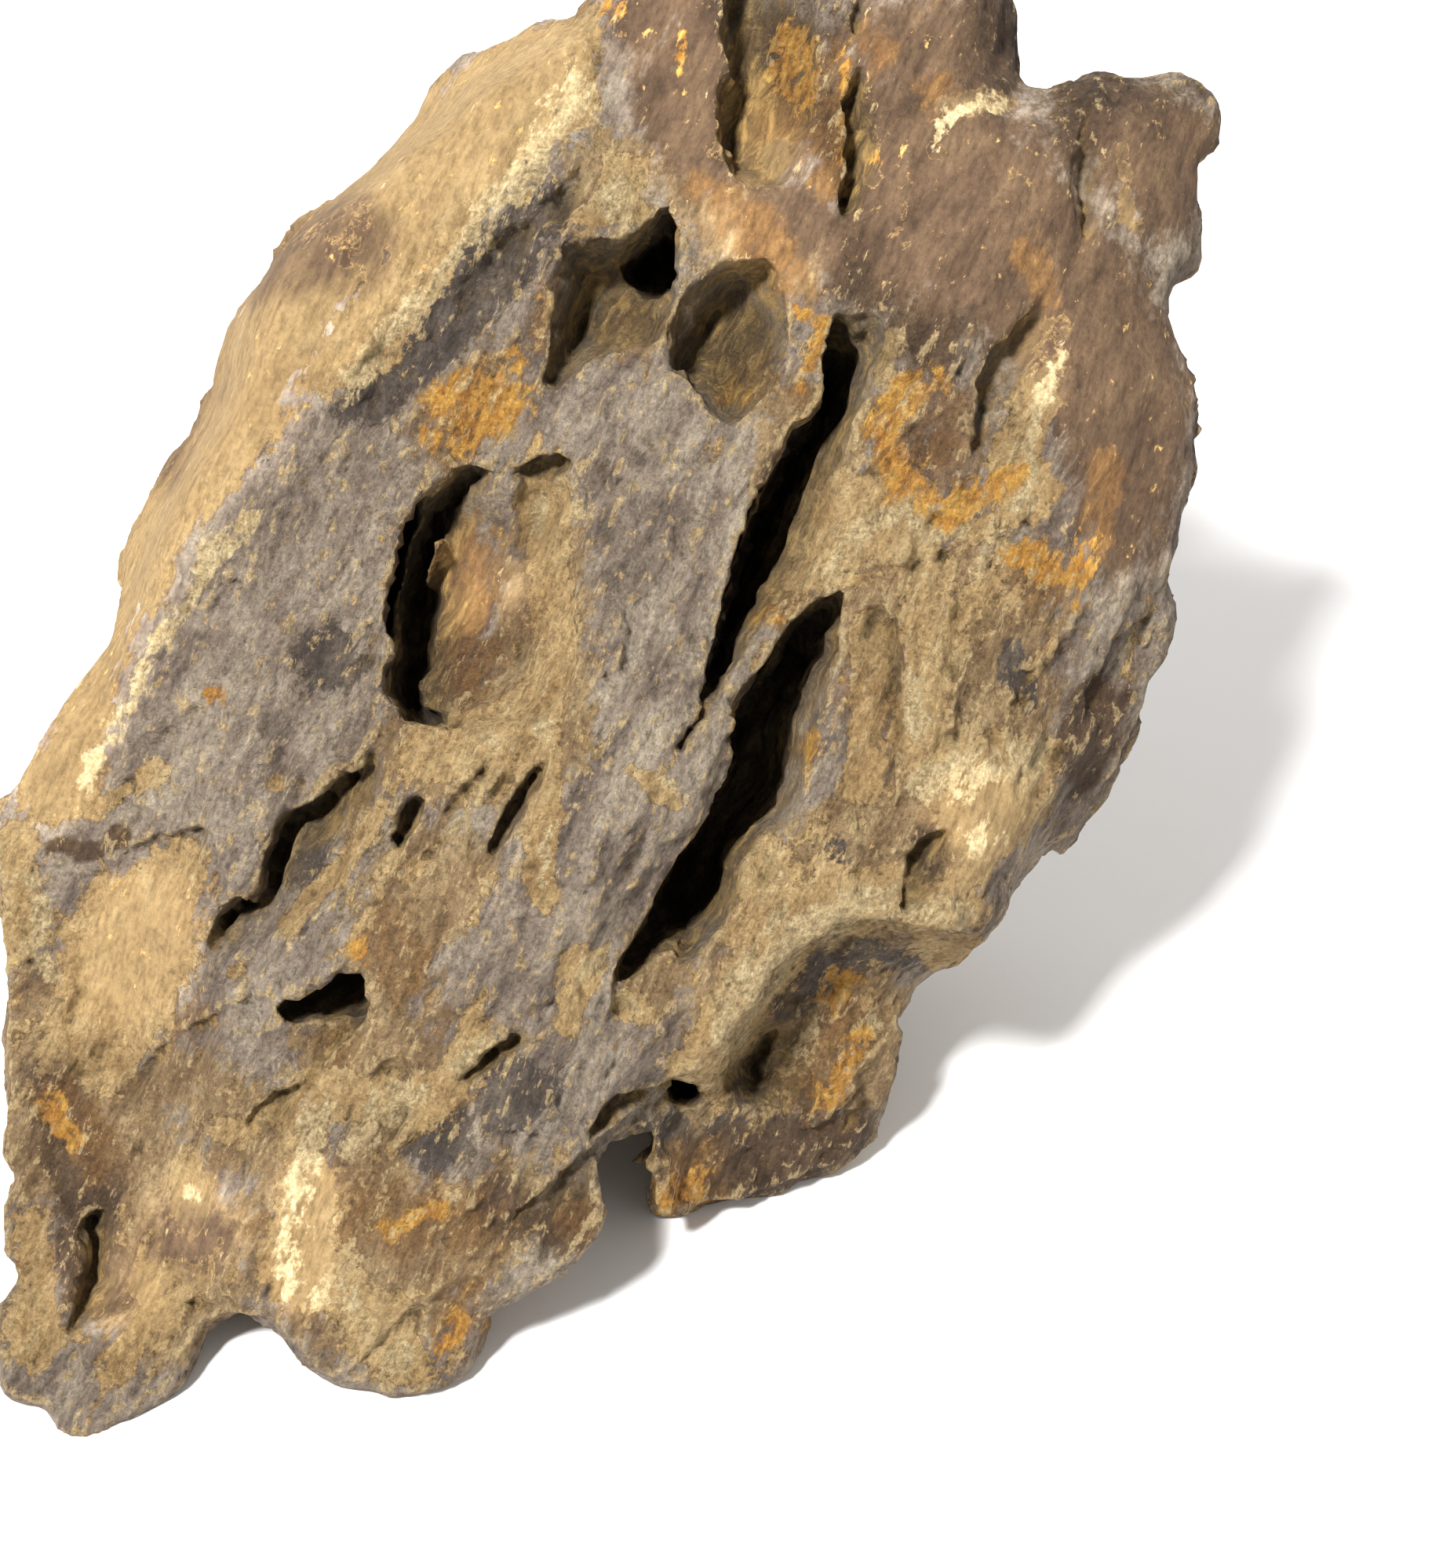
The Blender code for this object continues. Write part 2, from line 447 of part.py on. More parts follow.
def mesh_object(name, vertices, faces):
    """An object in metres from a mesh in millimetres, with its faces pointing out."""
    mesh = bpy.data.meshes.new(name)
    mesh.from_pydata([Vector(vertex) * MM for vertex in vertices], [], faces)
    shape = bmesh.new()
    shape.from_mesh(mesh)
    bmesh.ops.triangulate(shape, faces=[face for face in shape.faces if len(face.verts) > 4])
    bmesh.ops.recalc_face_normals(shape, faces=shape.faces)
    shape.to_mesh(mesh)
    shape.free()
    obj = bpy.data.objects.new(name, mesh)
    bpy.context.scene.collection.objects.link(obj)
    return obj


def joined_object(name, meshes):
    """One object holding several separate meshes."""
    vertices, faces = [], []
    for more_vertices, more_faces in meshes:
        faces += [tuple(i + len(vertices) for i in face) for face in more_faces]
        vertices += more_vertices
    return mesh_object(name, vertices, faces)


def bake(obj):
    """Replaces an object's mesh by what its modifiers make of it."""
    graph = bpy.context.evaluated_depsgraph_get()
    made = bpy.data.meshes.new_from_object(obj.evaluated_get(graph))
    old = obj.data
    obj.modifiers.clear()
    obj.data = made
    bpy.data.meshes.remove(old)


def remesh(obj, voxel):
    modifier = obj.modifiers.new("skin", "REMESH")
    modifier.mode = "VOXEL"
    modifier.voxel_size = voxel * MM
    bake(obj)


def cut(obj, cutter):
    cutter.hide_render = True
    cutter.display_type = "WIRE"
    modifier = obj.modifiers.new("cut", "BOOLEAN")
    modifier.operation = "DIFFERENCE"
    modifier.solver = "MANIFOLD"
    modifier.object = cutter
    bake(obj)
    bpy.data.objects.remove(cutter)


def skin_of(obj):
    """The object's surface, for casting rays onto it."""
    mesh = obj.data
    return BVHTree.FromPolygons([vertex.co for vertex in mesh.vertices],
                                [tuple(face.vertices) for face in mesh.polygons])


def layered_noise(point, size):
    """Smooth noise of about the given wavelength, with finer layers on it."""
    return sum(noise.noise(point * 2 ** octave / size + OCTAVE_OFFSET * octave) / 2 ** octave
               for octave in range(OCTAVES))


def roughen(obj, height, size, stretch, back_height=0):
    """Moves the skin in and out along its normals, in waves stretched along the grain.

    The back height is added where the skin looks to the back.
    """
    grain = FACE.a * math.cos(GRAIN_ANGLE) + FACE.b * math.sin(GRAIN_ANGLE)
    moves = []
    for vertex in obj.data.vertices:
        point = vertex.co / MM
        along = point.dot(grain)
        squeezed = point - grain * along * (1 - 1 / stretch)
        behind = min(1, max(0, vertex.normal.dot(BACK.out)))
        moves.append((height + back_height * behind) * layered_noise(squeezed, size))
    normals = [vertex.normal.copy() for vertex in obj.data.vertices]
    for vertex, normal, move in zip(obj.data.vertices, normals, moves):
        vertex.co += normal * move * MM
    obj.data.update()


def cut_hollows(stone):
    """Cuts every hollow at once, with one cutter made of them all."""
    skin = skin_of(stone)
    groups = [(FACE, FACE_HOLLOWS), (BACK, BACK_HOLLOWS), (LEFT, LEFT_HOLLOWS),
              (RIGHT, RIGHT_HOLLOWS), (UNDER, UNDER_HOLLOWS)]
    meshes = [hollow_mesh(side, stations, lean, skin)
              for side, hollows in groups for stations, lean in hollows.values()]
    cutter = joined_object("hollows", meshes)
    remesh(cutter, CUTTER_VOXEL)
    cut(stone, cutter)


def reduce_to(obj, triangles):
    obj.modifiers.new("triangles", "TRIANGULATE")
    bake(obj)
    modifier = obj.modifiers.new("fewer", "DECIMATE")
    modifier.ratio = triangles / len(obj.data.polygons)
    bake(obj)


def cut_feet(stone):
    """Cuts the underside off flat at the ground, so that the stone rests on its feet."""
    half = GROUND_HALF_WIDTH
    square = [(-half, -half), (half, -half), (half, half), (-half, half)]
    corners = [(x, y, z) for z in (-GROUND_DEPTH, 0) for x, y in square]
    faces = [(3, 2, 1, 0), (4, 5, 6, 7)]
    faces += [(i, (i + 1) % 4, 4 + (i + 1) % 4, 4 + i) for i in range(4)]
    cut(stone, mesh_object("ground", corners, faces))


def centre_on_ground(stone):
    """Moves the mesh so that the origin is under the middle of the stone."""
    points = np.array([vertex.co for vertex in stone.data.vertices])
    low, high = points.min(axis=0), points.max(axis=0)
    shift = Vector((-(low[0] + high[0]) / 2, -(low[1] + high[1]) / 2, 0))
    for vertex in stone.data.vertices:
        vertex.co += shift
    stone.data.update()


def stone_material():
    material = bpy.data.materials.new("dragon_stone")
    material.use_nodes = True
    shader = material.node_tree.nodes["Principled BSDF"]
    shader.inputs["Base Color"].default_value = STONE_COLOUR
    shader.inputs["Roughness"].default_value = STONE_ROUGHNESS
    return material


def main():
    clear_scene()
    meshes = [blank_mesh()] + [lump_mesh(FACE, stations) for stations in FACE_LUMPS.values()]
    stone = joined_object("dragon_stone", meshes)
    remesh(stone, BLANK_VOXEL)
    roughen(stone, WAVE_HEIGHT, WAVE_SIZE, WAVE_STRETCH, BACK_WAVE_HEIGHT)
    cut_hollows(stone)
    remesh(stone, STONE_VOXEL)
    roughen(stone, BUMP_HEIGHT, BUMP_SIZE, BUMP_STRETCH)
    reduce_to(stone, TRIANGLES)
    cut_feet(stone)
    centre_on_ground(stone)
    stone.data.materials.append(stone_material())


main()
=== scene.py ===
"""The dragon stone's looks: its fine surface, its colours, and a plain pale studio.

The broad face is made again at a fine grain. Its hollows, ledges and cracks are lists of places in pixels
of the photograph, with their depths in millimetres, and the camera below carries them onto the face.
Lengths are in millimetres in the face's own axes: u to the right, v up the face and w out of it.
"""
import itertools
import math

import bmesh
import bpy
import numpy as np
from mathutils import Matrix, Vector
from mathutils.bvhtree import BVHTree


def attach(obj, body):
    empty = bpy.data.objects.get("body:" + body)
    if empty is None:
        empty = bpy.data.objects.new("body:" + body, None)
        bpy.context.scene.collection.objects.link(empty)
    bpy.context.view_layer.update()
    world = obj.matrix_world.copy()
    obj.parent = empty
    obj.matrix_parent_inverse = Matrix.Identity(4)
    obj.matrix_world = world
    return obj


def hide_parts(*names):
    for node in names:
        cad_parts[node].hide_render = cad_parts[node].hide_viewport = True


MM = 0.001
# The broad face: how far it leans back from upright, and the point on it that its axes start from.
FACE_LEAN = math.radians(36)
FACE_ORIGIN = (24.501, -29.218, 98.0)
SIN, COS = math.sin(FACE_LEAN), math.cos(FACE_LEAN)
ORIGIN = np.array(FACE_ORIGIN)
AXES = np.array([(1, 0, 0), (0, SIN, COS), (0, -COS, SIN)])

# The photograph: its size, the millimetres that a pixel is at the face, and the camera in front of it.
PHOTO_WIDTH, PHOTO_HEIGHT = 1848, 1999
PHOTO_SCALE = 0.15
CAMERA_DISTANCE = 380
CAMERA_LENS = 45.6
SENSOR = 36

# The grid over the face's plane: its corners, its step, and how many steps the coarse grid takes at once.
GRID_LOW, GRID_HIGH = (-142, -132), (142, 188)
GRID_STEP = 0.6
COARSE = 3
# Where rays at the face start in front of it and behind it, and how high the block in front of it reaches.
AHEAD, BEHIND = 200, -250
BLOCK_TOP = 110

# The solid's own hollows are filled before the fine ones are cut: how wide and how deep they are at least,
# how much the face is raised for that, and how thick the slab under it is.
CLOSING_REACH = 19
HOLLOW_LEAST = 1.2
RAISE = 1.6
SLAB_DEPTH = 58
SLAB_LEAST = 3
# How far above the solid the block stays where the face ends.
RIM_GAP = 3

# The grain of the mesh before and after the face is cut, and how many triangles it keeps.
SKIN_VOXEL = 0.9
FINE_VOXEL = 0.7
TRIANGLES = 192000
# The sides and back are thinned first, to this many triangles. They are where the surface's normal points
# out of the face less than this.
PLAIN_TRIANGLES = 76000
PLAIN_FACING = 0.3
# Below this height above the ground, in millimetres, the relief fades out.
FOOT_LOW, FOOT_HIGH = 0.4, 4

# The layers of the stone: the direction that they run in and how much longer than wide their forms are.
GRAIN_ANGLE = math.radians(60)
GRAIN_STRETCH = 2.6
STREAK_ANGLE = math.radians(68)
STREAK_STRETCH = 4

# The step of a smooth curve in pixels, and over how many pixels a line's form fades out at its ends.
HOLLOW_STEP = 12
LINE_STEP = 14
LEDGE_FADE = (0, 50)
BAND_FADE = (-4, 24)
# A hollow narrower than this share of its widest part is shallower there.
NARROW_SHARE = 0.55
# The least width of a colour patch's soft edge in pixels.
SOFT_LEAST = 18
# How far noise shakes the places of the forms in pixels, with the size of the noise, and those of the
# colours.
FORM_SHAKE = ((5.5, 5), (3.5, 1.9))
COLOUR_SHAKE = 16
# Over how many pixels the ribs fade out towards the edge of their wall, and how much longer than wide they
# are.
RIB_FADE = 18
RIB_STRETCH = 7

# The cutters under the steep sides: points round them, the step along them and how long their ends taper.
SECTION_POINTS = 15
UNDERCUT_STEP = 2
UNDERCUT_TAPER = 5

# The rays that look for stone round each vertex: how many, how far they reach, and where they start.
SKY_RAYS = 10
SKY_REACH = 26
SKY_START = 0.8

# The flaking skin, from coarse to fine: the size of the flakes, the drop at their edges, where in the noise
# the edges lie, and the noise's seed.
FLAKES = [(22, 1.3, 0.08, 41), (13, 1.0, 0.12, 44), (8, 0.8, 0.15, 47), (5, 0.6, 0.15, 50),
          (3, 0.4, 0.12, 53)]

# What the photo doesn't show takes its colours from noise: whether it runs along the grain, its size,
# layers, seed and gain, and from which value to which the colour grows.
UNSEEN = {
    "rust": (True, 22, 3, 111, 0.5, 0.3, 0.6),
    "brown": (False, 40, 2, 121, 0.5, -0.2, 0.3),
    "slate": (False, 34, 2, 131, 0.5, 0.2, 0.5),
    "pale": (True, 14, 4, 171, 0.6, 0.3, 0.6),
    "tawny": (False, 26, 3, 181, 0.5, 0.1, 0.5),
    "warm": (False, 36, 3, 161, 0.5, -0.3, 0.2),
}

# The noise textures: the coordinates that each uses, the size of its forms in millimetres, its detail, its
# roughness and its distortion.
TEXTURES = {
    "broad": ("place", 30, 5, 0.6, 0),
    "middle": ("grain", 7, 9, 0.66, 0.5),
    "mottle": ("place", 3.6, 9, 0.7, 0.3),
    "flake": ("grain", 3.2, 9, 0.7, 0.8),
    "small": ("place", 1.2, 8, 0.72, 0),
    "tiny": ("place", 0.4, 3, 0.6, 0),
    "streak": ("streaky", 1.1, 5, 0.62, 0),
    "fleck": ("streaky", 1.2, 5, 0.7, 1.0),
}

# The colours: the texture that each follows, and its stops.
COLOURS = {
    "plate": ("middle", [(0.3, (96, 83, 74)), (0.44, (148, 131, 115)), (0.56, (180, 164, 144)),
                         (0.72, (214, 198, 172))]),
    "warm": ("middle", [(0.3, (110, 84, 56)), (0.44, (154, 125, 88)), (0.56, (184, 155, 112)),
                        (0.72, (212, 186, 140))]),
    "slate": ("middle", [(0.3, (70, 60, 54)), (0.5, (102, 90, 80)), (0.7, (138, 123, 107))]),
    "brown": ("middle", [(0.3, (74, 56, 40)), (0.46, (100, 78, 58)), (0.6, (116, 92, 68)),
                         (0.75, (138, 112, 82))]),
    "tawny": ("flake", [(0.3, (98, 68, 38)), (0.5, (142, 102, 56)), (0.7, (180, 138, 82))]),
    "sand": ("middle", [(0.3, (158, 124, 78)), (0.44, (196, 162, 110)), (0.57, (214, 182, 128)),
                        (0.72, (232, 206, 154))]),
    "film": ("small", [(0.3, (112, 86, 54)), (0.5, (152, 122, 80)), (0.7, (186, 156, 108))]),
    "rust": ("flake", [(0.3, (138, 88, 42)), (0.46, (200, 140, 58)), (0.6, (232, 178, 84)),
                       (0.75, (232, 198, 130))]),
    # deep is near-black: painted shade in the most closed-in hollows, and the dark crack lines. olive is the
    # hollows' own olive colour, also used for painted shade in creases and closed-in places.
    "deep": ("small", [(0.3, (14, 10, 6)), (0.7, (38, 28, 16))]),
    "olive": ("flake", [(0.36, (44, 34, 18)), (0.5, (100, 80, 46)), (0.64, (164, 134, 78))]),
    # cream also paints the highlight on the lit crests, through the pale patch.
    "cream": ("small", [(0.3, (186, 160, 114)), (0.5, (214, 190, 142)), (0.7, (234, 214, 170))]),
    "lines": ("streak", [(0.3, (176, 172, 168)), (0.46, (228, 226, 224)), (0.6, (255, 255, 255))]),
    "grit": ("small", [(0.32, (158, 155, 152)), (0.5, (232, 231, 230)), (0.62, (255, 255, 255))]),
}
# The sand's plainest colours, where it is smooth.
SAND_DARK, SAND_LIGHT = (98, 76, 46), (172, 145, 100)
BUMP_DISTANCE = 1.4

# The studio, in metres: the floor's reach, how far back and how high its backdrop stands, and the bend
# between them; and each lamp's place, power in watts and size.
FLOOR_REACH = 1.6
WALL_BACK, WALL_HEIGHT = 0.75, 1.4
BEND, BEND_POINTS = 0.25, 12
SKY_STRENGTH = 0.44
LAMPS = {
    "key": ((-0.42, -0.62, 1.12), 40, 0.2),
    "fill": ((0.9, -0.7, 0.8), 2, 0.9),
}
AIM = (0, 0, 0.1)

# Each hollow: its steep side, its gentle side without the two ends, which they share, both in pixels, and
# its depths in millimetres from the gentle side (0) to the steep one (1).
HOLLOWS = {
    "big pit": (
        [(637, 602), (612, 592), (580, 597), (555, 615), (530, 645), (512, 680), (505, 715), (498, 745),
         (492, 780), (495, 812), (500, 838), (488, 852), (492, 885), (503, 905), (525, 922), (560, 926),
         (600, 928)],
        [(668, 586), (700, 585), (724, 582), (737, 603), (752, 628), (748, 665), (738, 700), (731, 750),
         (739, 800), (734, 850), (722, 885), (690, 905), (650, 922)],
        [(0, 0), (0.03, 2.2), (0.3, 4.5), (0.4, 7), (0.58, 9), (0.74, 13), (0.84, 22), (1, 32)]),
    "lipped pit": (
        [(645, 600), (668, 583), (700, 581), (724, 578), (734, 594)],
        [(652, 622), (680, 630), (707, 616)],
        [(0, 0), (0.6, 4.5), (1, 7)]),
    "slanted pit": (
        [(690, 492), (698, 450), (706, 400), (712, 350), (715, 312), (735, 303), (775, 303), (806, 305),
         (835, 268), (850, 262), (862, 288), (864, 325), (866, 360)],
        [(712, 490), (735, 472), (765, 455), (800, 442), (835, 430), (852, 402)],
        [(0, 0), (0.07, 4), (0.35, 9), (0.6, 14), (0.75, 15), (0.88, 9), (1, 2.5)]),
    "slanted pit depth": (
        [(786, 352), (790, 318), (806, 300), (822, 286), (835, 268), (850, 262), (862, 288), (862, 325),
         (856, 366)],
        [(805, 366), (830, 374)],
        [(0, 10), (0.3, 18), (1, 30)]),
    "bowl": (
        [(893, 508), (872, 474), (848, 470), (850, 420), (865, 385), (895, 350), (925, 335), (960, 330),
         (980, 335), (994, 352)],
        [(905, 530), (935, 538), (955, 525), (975, 500), (990, 480), (1005, 455), (1008, 420), (1005, 385)],
        [(0, 0), (0.08, 4), (0.3, 8), (0.6, 14), (0.74, 15), (0.84, 9), (1, 2)]),
    "upper crevice": (
        [(1068, 397), (1060, 420), (1053, 450), (1052, 480), (1047, 507), (1032, 527), (1011, 545),
         (995, 575), (975, 612), (955, 655), (945, 690), (935, 720), (925, 760), (915, 800), (905, 840),
         (893, 880), (880, 915), (864, 940), (868, 968)],
        [(1095, 394), (1122, 396), (1138, 420), (1142, 452), (1122, 487), (1102, 520), (1084, 560),
         (1078, 610), (1072, 655), (1062, 690), (1050, 718), (1020, 748), (990, 777), (962, 812),
         (940, 850), (915, 890), (890, 930)],
        [(0, 0), (0.14, 3), (0.5, 11), (0.6, 22), (0.75, 36), (1, 42)]),
    "lower crevice": (
        [(1086, 746), (1055, 762), (1027, 779), (1002, 805), (985, 835), (962, 862), (940, 890), (928, 920),
         (932, 945), (936, 965), (925, 1000), (910, 1030), (880, 1075), (855, 1115), (830, 1162),
         (805, 1202), (790, 1232), (783, 1262)],
        [(1074, 775), (1069, 800), (1074, 830), (1062, 860), (1050, 900), (1045, 950), (1030, 1000),
         (1015, 1040), (985, 1062), (955, 1085), (941, 1110), (944, 1140), (920, 1180), (903, 1200),
         (886, 1225), (870, 1230), (856, 1213), (842, 1218), (815, 1240)],
        [(0, 0), (0.08, 4), (0.3, 12), (0.4, 28), (0.6, 44), (1, 46)]),
    "left slot": (
        [(480, 955), (452, 973), (425, 990), (405, 1015), (375, 1030), (355, 1045), (345, 1070),
         (338, 1100), (332, 1130), (320, 1145), (295, 1150), (275, 1167), (265, 1195), (256, 1228)],
        [(487, 985), (482, 1015), (470, 1050), (455, 1080), (430, 1120), (400, 1155), (370, 1183),
         (340, 1203), (300, 1218)],
        [(0, 0), (0.12, 1.5), (0.4, 4.5), (0.78, 7), (0.86, 12), (1, 16)]),
    "small hole": (
        [(538, 1014), (520, 1022), (510, 1040), (500, 1060), (496, 1078), (505, 1089)],
        [(539, 1035), (528, 1055), (514, 1075)],
        [(0, 0), (0.3, 4), (1, 9)]),
    "leaf": (
        [(694, 932), (665, 945), (637, 985), (612, 1020), (597, 1060), (590, 1104)],
        [(706, 960), (700, 985), (682, 1020), (662, 1052), (640, 1084), (618, 1108)],
        [(0, 0), (0.2, 1.2), (0.8, 2.6), (1, 1.2)]),
    "leaf slit": (
        [(697, 970), (674, 984), (655, 1010), (642, 1036), (627, 1066), (614, 1106)],
        [(692, 1000), (676, 1026), (658, 1052), (638, 1082)],
        [(0, 0), (0.3, 4), (1, 12)]),
    "leaf band": (
        [(640, 945), (600, 990), (565, 1035), (540, 1090), (500, 1140)],
        [(628, 985), (600, 1035), (570, 1085)],
        [(0, 0), (0.7, 2), (1, 2.8)]),
    "kidney hole": (
        [(362, 1303), (350, 1290), (360, 1275), (385, 1265), (402, 1254), (422, 1243), (445, 1240),
         (463, 1248), (470, 1266)],
        [(382, 1305), (402, 1299), (425, 1306), (450, 1304), (465, 1290)],
        [(0, 0), (0.12, 9), (1, 20)]),
    "kidney channel": (
        [(468, 1272), (456, 1308), (434, 1328), (414, 1350), (399, 1384)],
        [(420, 1288), (365, 1298), (335, 1325), (356, 1360)],
        [(0, 0), (0.4, 2.5), (1, 5)]),
    "short slit": (
        [(666, 1320), (642, 1327), (617, 1344), (600, 1360), (582, 1383)],
        [(652, 1343), (628, 1362), (602, 1378)],
        [(0, 0), (0.4, 3), (1, 7)]),
    "sand patch": (
        [(70, 1118), (110, 1116), (140, 1105), (165, 1082), (200, 1066), (240, 1058), (272, 1062),
         (277, 1090), (290, 1125), (292, 1147), (275, 1167), (268, 1195), (260, 1217), (248, 1245)],
        [(40, 1150), (50, 1210), (80, 1262), (92, 1320), (112, 1395), (150, 1372), (190, 1315)],
        [(0, 0), (0.1, 1.2), (0.85, 1.2), (1, 3)]),
    "little scoop": (
        [(402, 1374), (370, 1388), (335, 1405), (315, 1430), (308, 1462)],
        [(397, 1402), (372, 1432), (342, 1452)],
        [(0, 0), (0.6, 2.2), (1, 4)]),
    "toe recess": (
        [(140, 1540), (118, 1546), (104, 1560), (100, 1590), (94, 1622), (86, 1662), (80, 1722)],
        [(158, 1570), (178, 1610), (196, 1645), (200, 1682), (160, 1702), (118, 1724)],
        [(0, 0), (0.6, 4), (0.9, 9), (1, 11)]),
    "edge slot": (
        [(846, 1385), (812, 1393), (782, 1400), (766, 1420), (748, 1450)],
        [(824, 1406), (793, 1427), (767, 1448)],
        [(0, 0), (0.3, 3), (1, 9)]),
    "gap": (
        [(846, 1376), (858, 1380), (874, 1386), (897, 1389)],
        [(844, 1402), (862, 1416), (882, 1410)],
        [(0, 0), (0.15, 9), (1, 24)]),
    "top slot": (
        [(1100, 76), (1091, 92), (1082, 120), (1078, 160), (1080, 200), (1076, 240), (1070, 268),
         (1080, 277)],
        [(1105, 100), (1113, 140), (1121, 180), (1116, 220), (1105, 250), (1092, 272)],
        [(0, 0), (0.3, 3), (0.65, 5), (0.8, 9), (1, 12)]),
    "top slot above": (
        [(1098, -20), (1090, 5), (1085, 35), (1086, 52)],
        [(1106, 10), (1100, 40)],
        [(0, 0), (0.5, 2.5), (1, 4)]),
    "top scoop": (
        [(950, -75), (928, -40), (920, 0), (918, 50), (926, 80), (918, 110), (918, 160), (926, 192),
         (942, 232)],
        [(1010, -60), (1046, 0), (1042, 50), (1043, 100), (1040, 150), (1026, 192), (1000, 230),
         (976, 238)],
        [(0, 0), (0.08, 3), (0.3, 6), (0.65, 9), (0.85, 13), (1, 12)]),
    "sandy groove": (
        [(1330, 372), (1302, 408), (1272, 438), (1256, 460), (1250, 500), (1244, 540), (1240, 592)],
        [(1358, 388), (1362, 430), (1352, 462), (1332, 505), (1300, 553), (1270, 588)],
        [(0, 0), (0.3, 1.5), (0.75, 5), (1, 7)]),
    "right hollow": (
        [(1216, 1054), (1186, 1066), (1165, 1088), (1157, 1120), (1150, 1160), (1156, 1178)],
        [(1220, 1090), (1205, 1124), (1184, 1154)],
        [(0, 0), (0.6, 4), (1, 6)]),
    "fin groove": (
        [(1468, 782), (1430, 810), (1405, 850), (1390, 890), (1384, 922)],
        [(1466, 820), (1445, 862), (1420, 902)],
        [(0, 0), (0.7, 3.5), (1, 4.5)]),
    "nub groove": (
        [(1388, 128), (1379, 170), (1375, 220), (1378, 270), (1384, 320)],
        [(1412, 170), (1450, 185), (1462, 240), (1440, 300)],
        [(0, 0), (0.5, 1.5), (0.85, 4), (1, 5)]),
    "crescent": (
        [(752, 185), (700, 245), (630, 305), (568, 370), (520, 430), (470, 490), (440, 548)],
        [(748, 250), (700, 305), (655, 370), (610, 445), (560, 495), (500, 535)],
        [(0, 0), (0.6, 2.4), (0.85, 2.8), (1, 0.8)]),
    "dent": (
        [(497, 842), (470, 862), (430, 884), (388, 896), (335, 886)],
        [(482, 805), (440, 780), (388, 788), (345, 830)],
        [(0, 0), (0.6, 2.6), (1, 1.2)]),
    "strip": (
        [(1110, 722), (1128, 768), (1143, 800), (1148, 870), (1146, 940), (1140, 1000), (1134, 1066)],
        [(1076, 770), (1074, 830), (1052, 900), (1048, 960), (1034, 1010), (1040, 1060)],
        [(0, 0), (0.2, 0.4), (0.85, 1.8), (1, 2.8)]),
    "pale slab side": (
        [(798, 1222), (784, 1250), (776, 1290), (780, 1330)],
        [(812, 1260), (818, 1310), (806, 1334)],
        [(0, 0), (0.5, 1), (1, 3)]),
}

# Each ledge: its edge in pixels, with the low side on the left when the edge is followed, the drop in
# millimetres there, and how many pixels on the ground comes level again.
LEDGES = {
    "rounded ledge": (
        [(1238, 1176), (1192, 1186), (1150, 1176), (1112, 1174), (1080, 1182), (1050, 1192), (1012, 1212),
         (986, 1242), (962, 1282), (942, 1312), (930, 1352), (906, 1390)], 11, 190),
    "second layer": ([(946, 1416), (957, 1400), (972, 1360), (987, 1330), (1014, 1316)], 3.5, 90),
    "third layer": ([(1080, 1360), (1092, 1390), (1060, 1420), (1030, 1442), (1000, 1440)], 4, 80),
    "upper shadow": ([(335, 1262), (282, 1286), (232, 1312), (192, 1347), (150, 1392), (118, 1432)], 2, 70),
    "plate edge": ([(860, 1370), (800, 1426), (742, 1470), (702, 1508), (668, 1540), (640, 1572)], 4, 90),
    "cream lip": ([(680, 1312), (650, 1320), (600, 1357), (575, 1387), (545, 1412)], 1.6, 60),
    "left border": ([(58, 1180), (84, 1222), (90, 1262), (78, 1300), (86, 1352), (98, 1402)], 1.8, 50),
    "small fold": ([(1195, 1060), (1168, 1082), (1150, 1093), (1125, 1088)], 1.8, 50),
    "trough edge": ([(739, 800), (731, 750), (738, 700), (748, 665), (752, 628), (737, 603)], 0.8, 26),
    "right of strip": ([(1138, 985), (1146, 930), (1152, 850), (1150, 760)], 1.6, 60),
    "ridge side": ([(1228, 740), (1214, 820), (1218, 900), (1206, 960)], 1.5, 60),
    "far ridge": ([(1262, 800), (1252, 860), (1256, 930), (1244, 990)], 1.2, 70),
    "nub edge": ([(1372, 160), (1366, 230), (1370, 300), (1360, 350)], 1.8, 50),
    "top crack": ([(1306, 20), (1296, 90), (1280, 140), (1292, 190)], 1.5, 50),
    "peak right": ([(775, 200), (806, 232), (838, 262)], 1.6, 40),
    "peak left": ([(722, 300), (738, 236), (768, 198)], 1.6, 50),
    "toe back": ([(330, 1670), (290, 1660), (240, 1664), (200, 1660)], 2, 40),
    "bottom flake": ([(740, 1470), (690, 1450), (640, 1440), (600, 1432)], 1, 60),
    "fold line": ([(485, 1035), (452, 1098), (402, 1148), (345, 1192)], 1.3, 50),
    "leaf light": ([(530, 1097), (568, 1045), (604, 1003), (640, 968)], 1.0, 30),
    "spine": ([(398, 1380), (402, 1440), (380, 1520), (362, 1600), (350, 1650)], 1.3, 60),
}

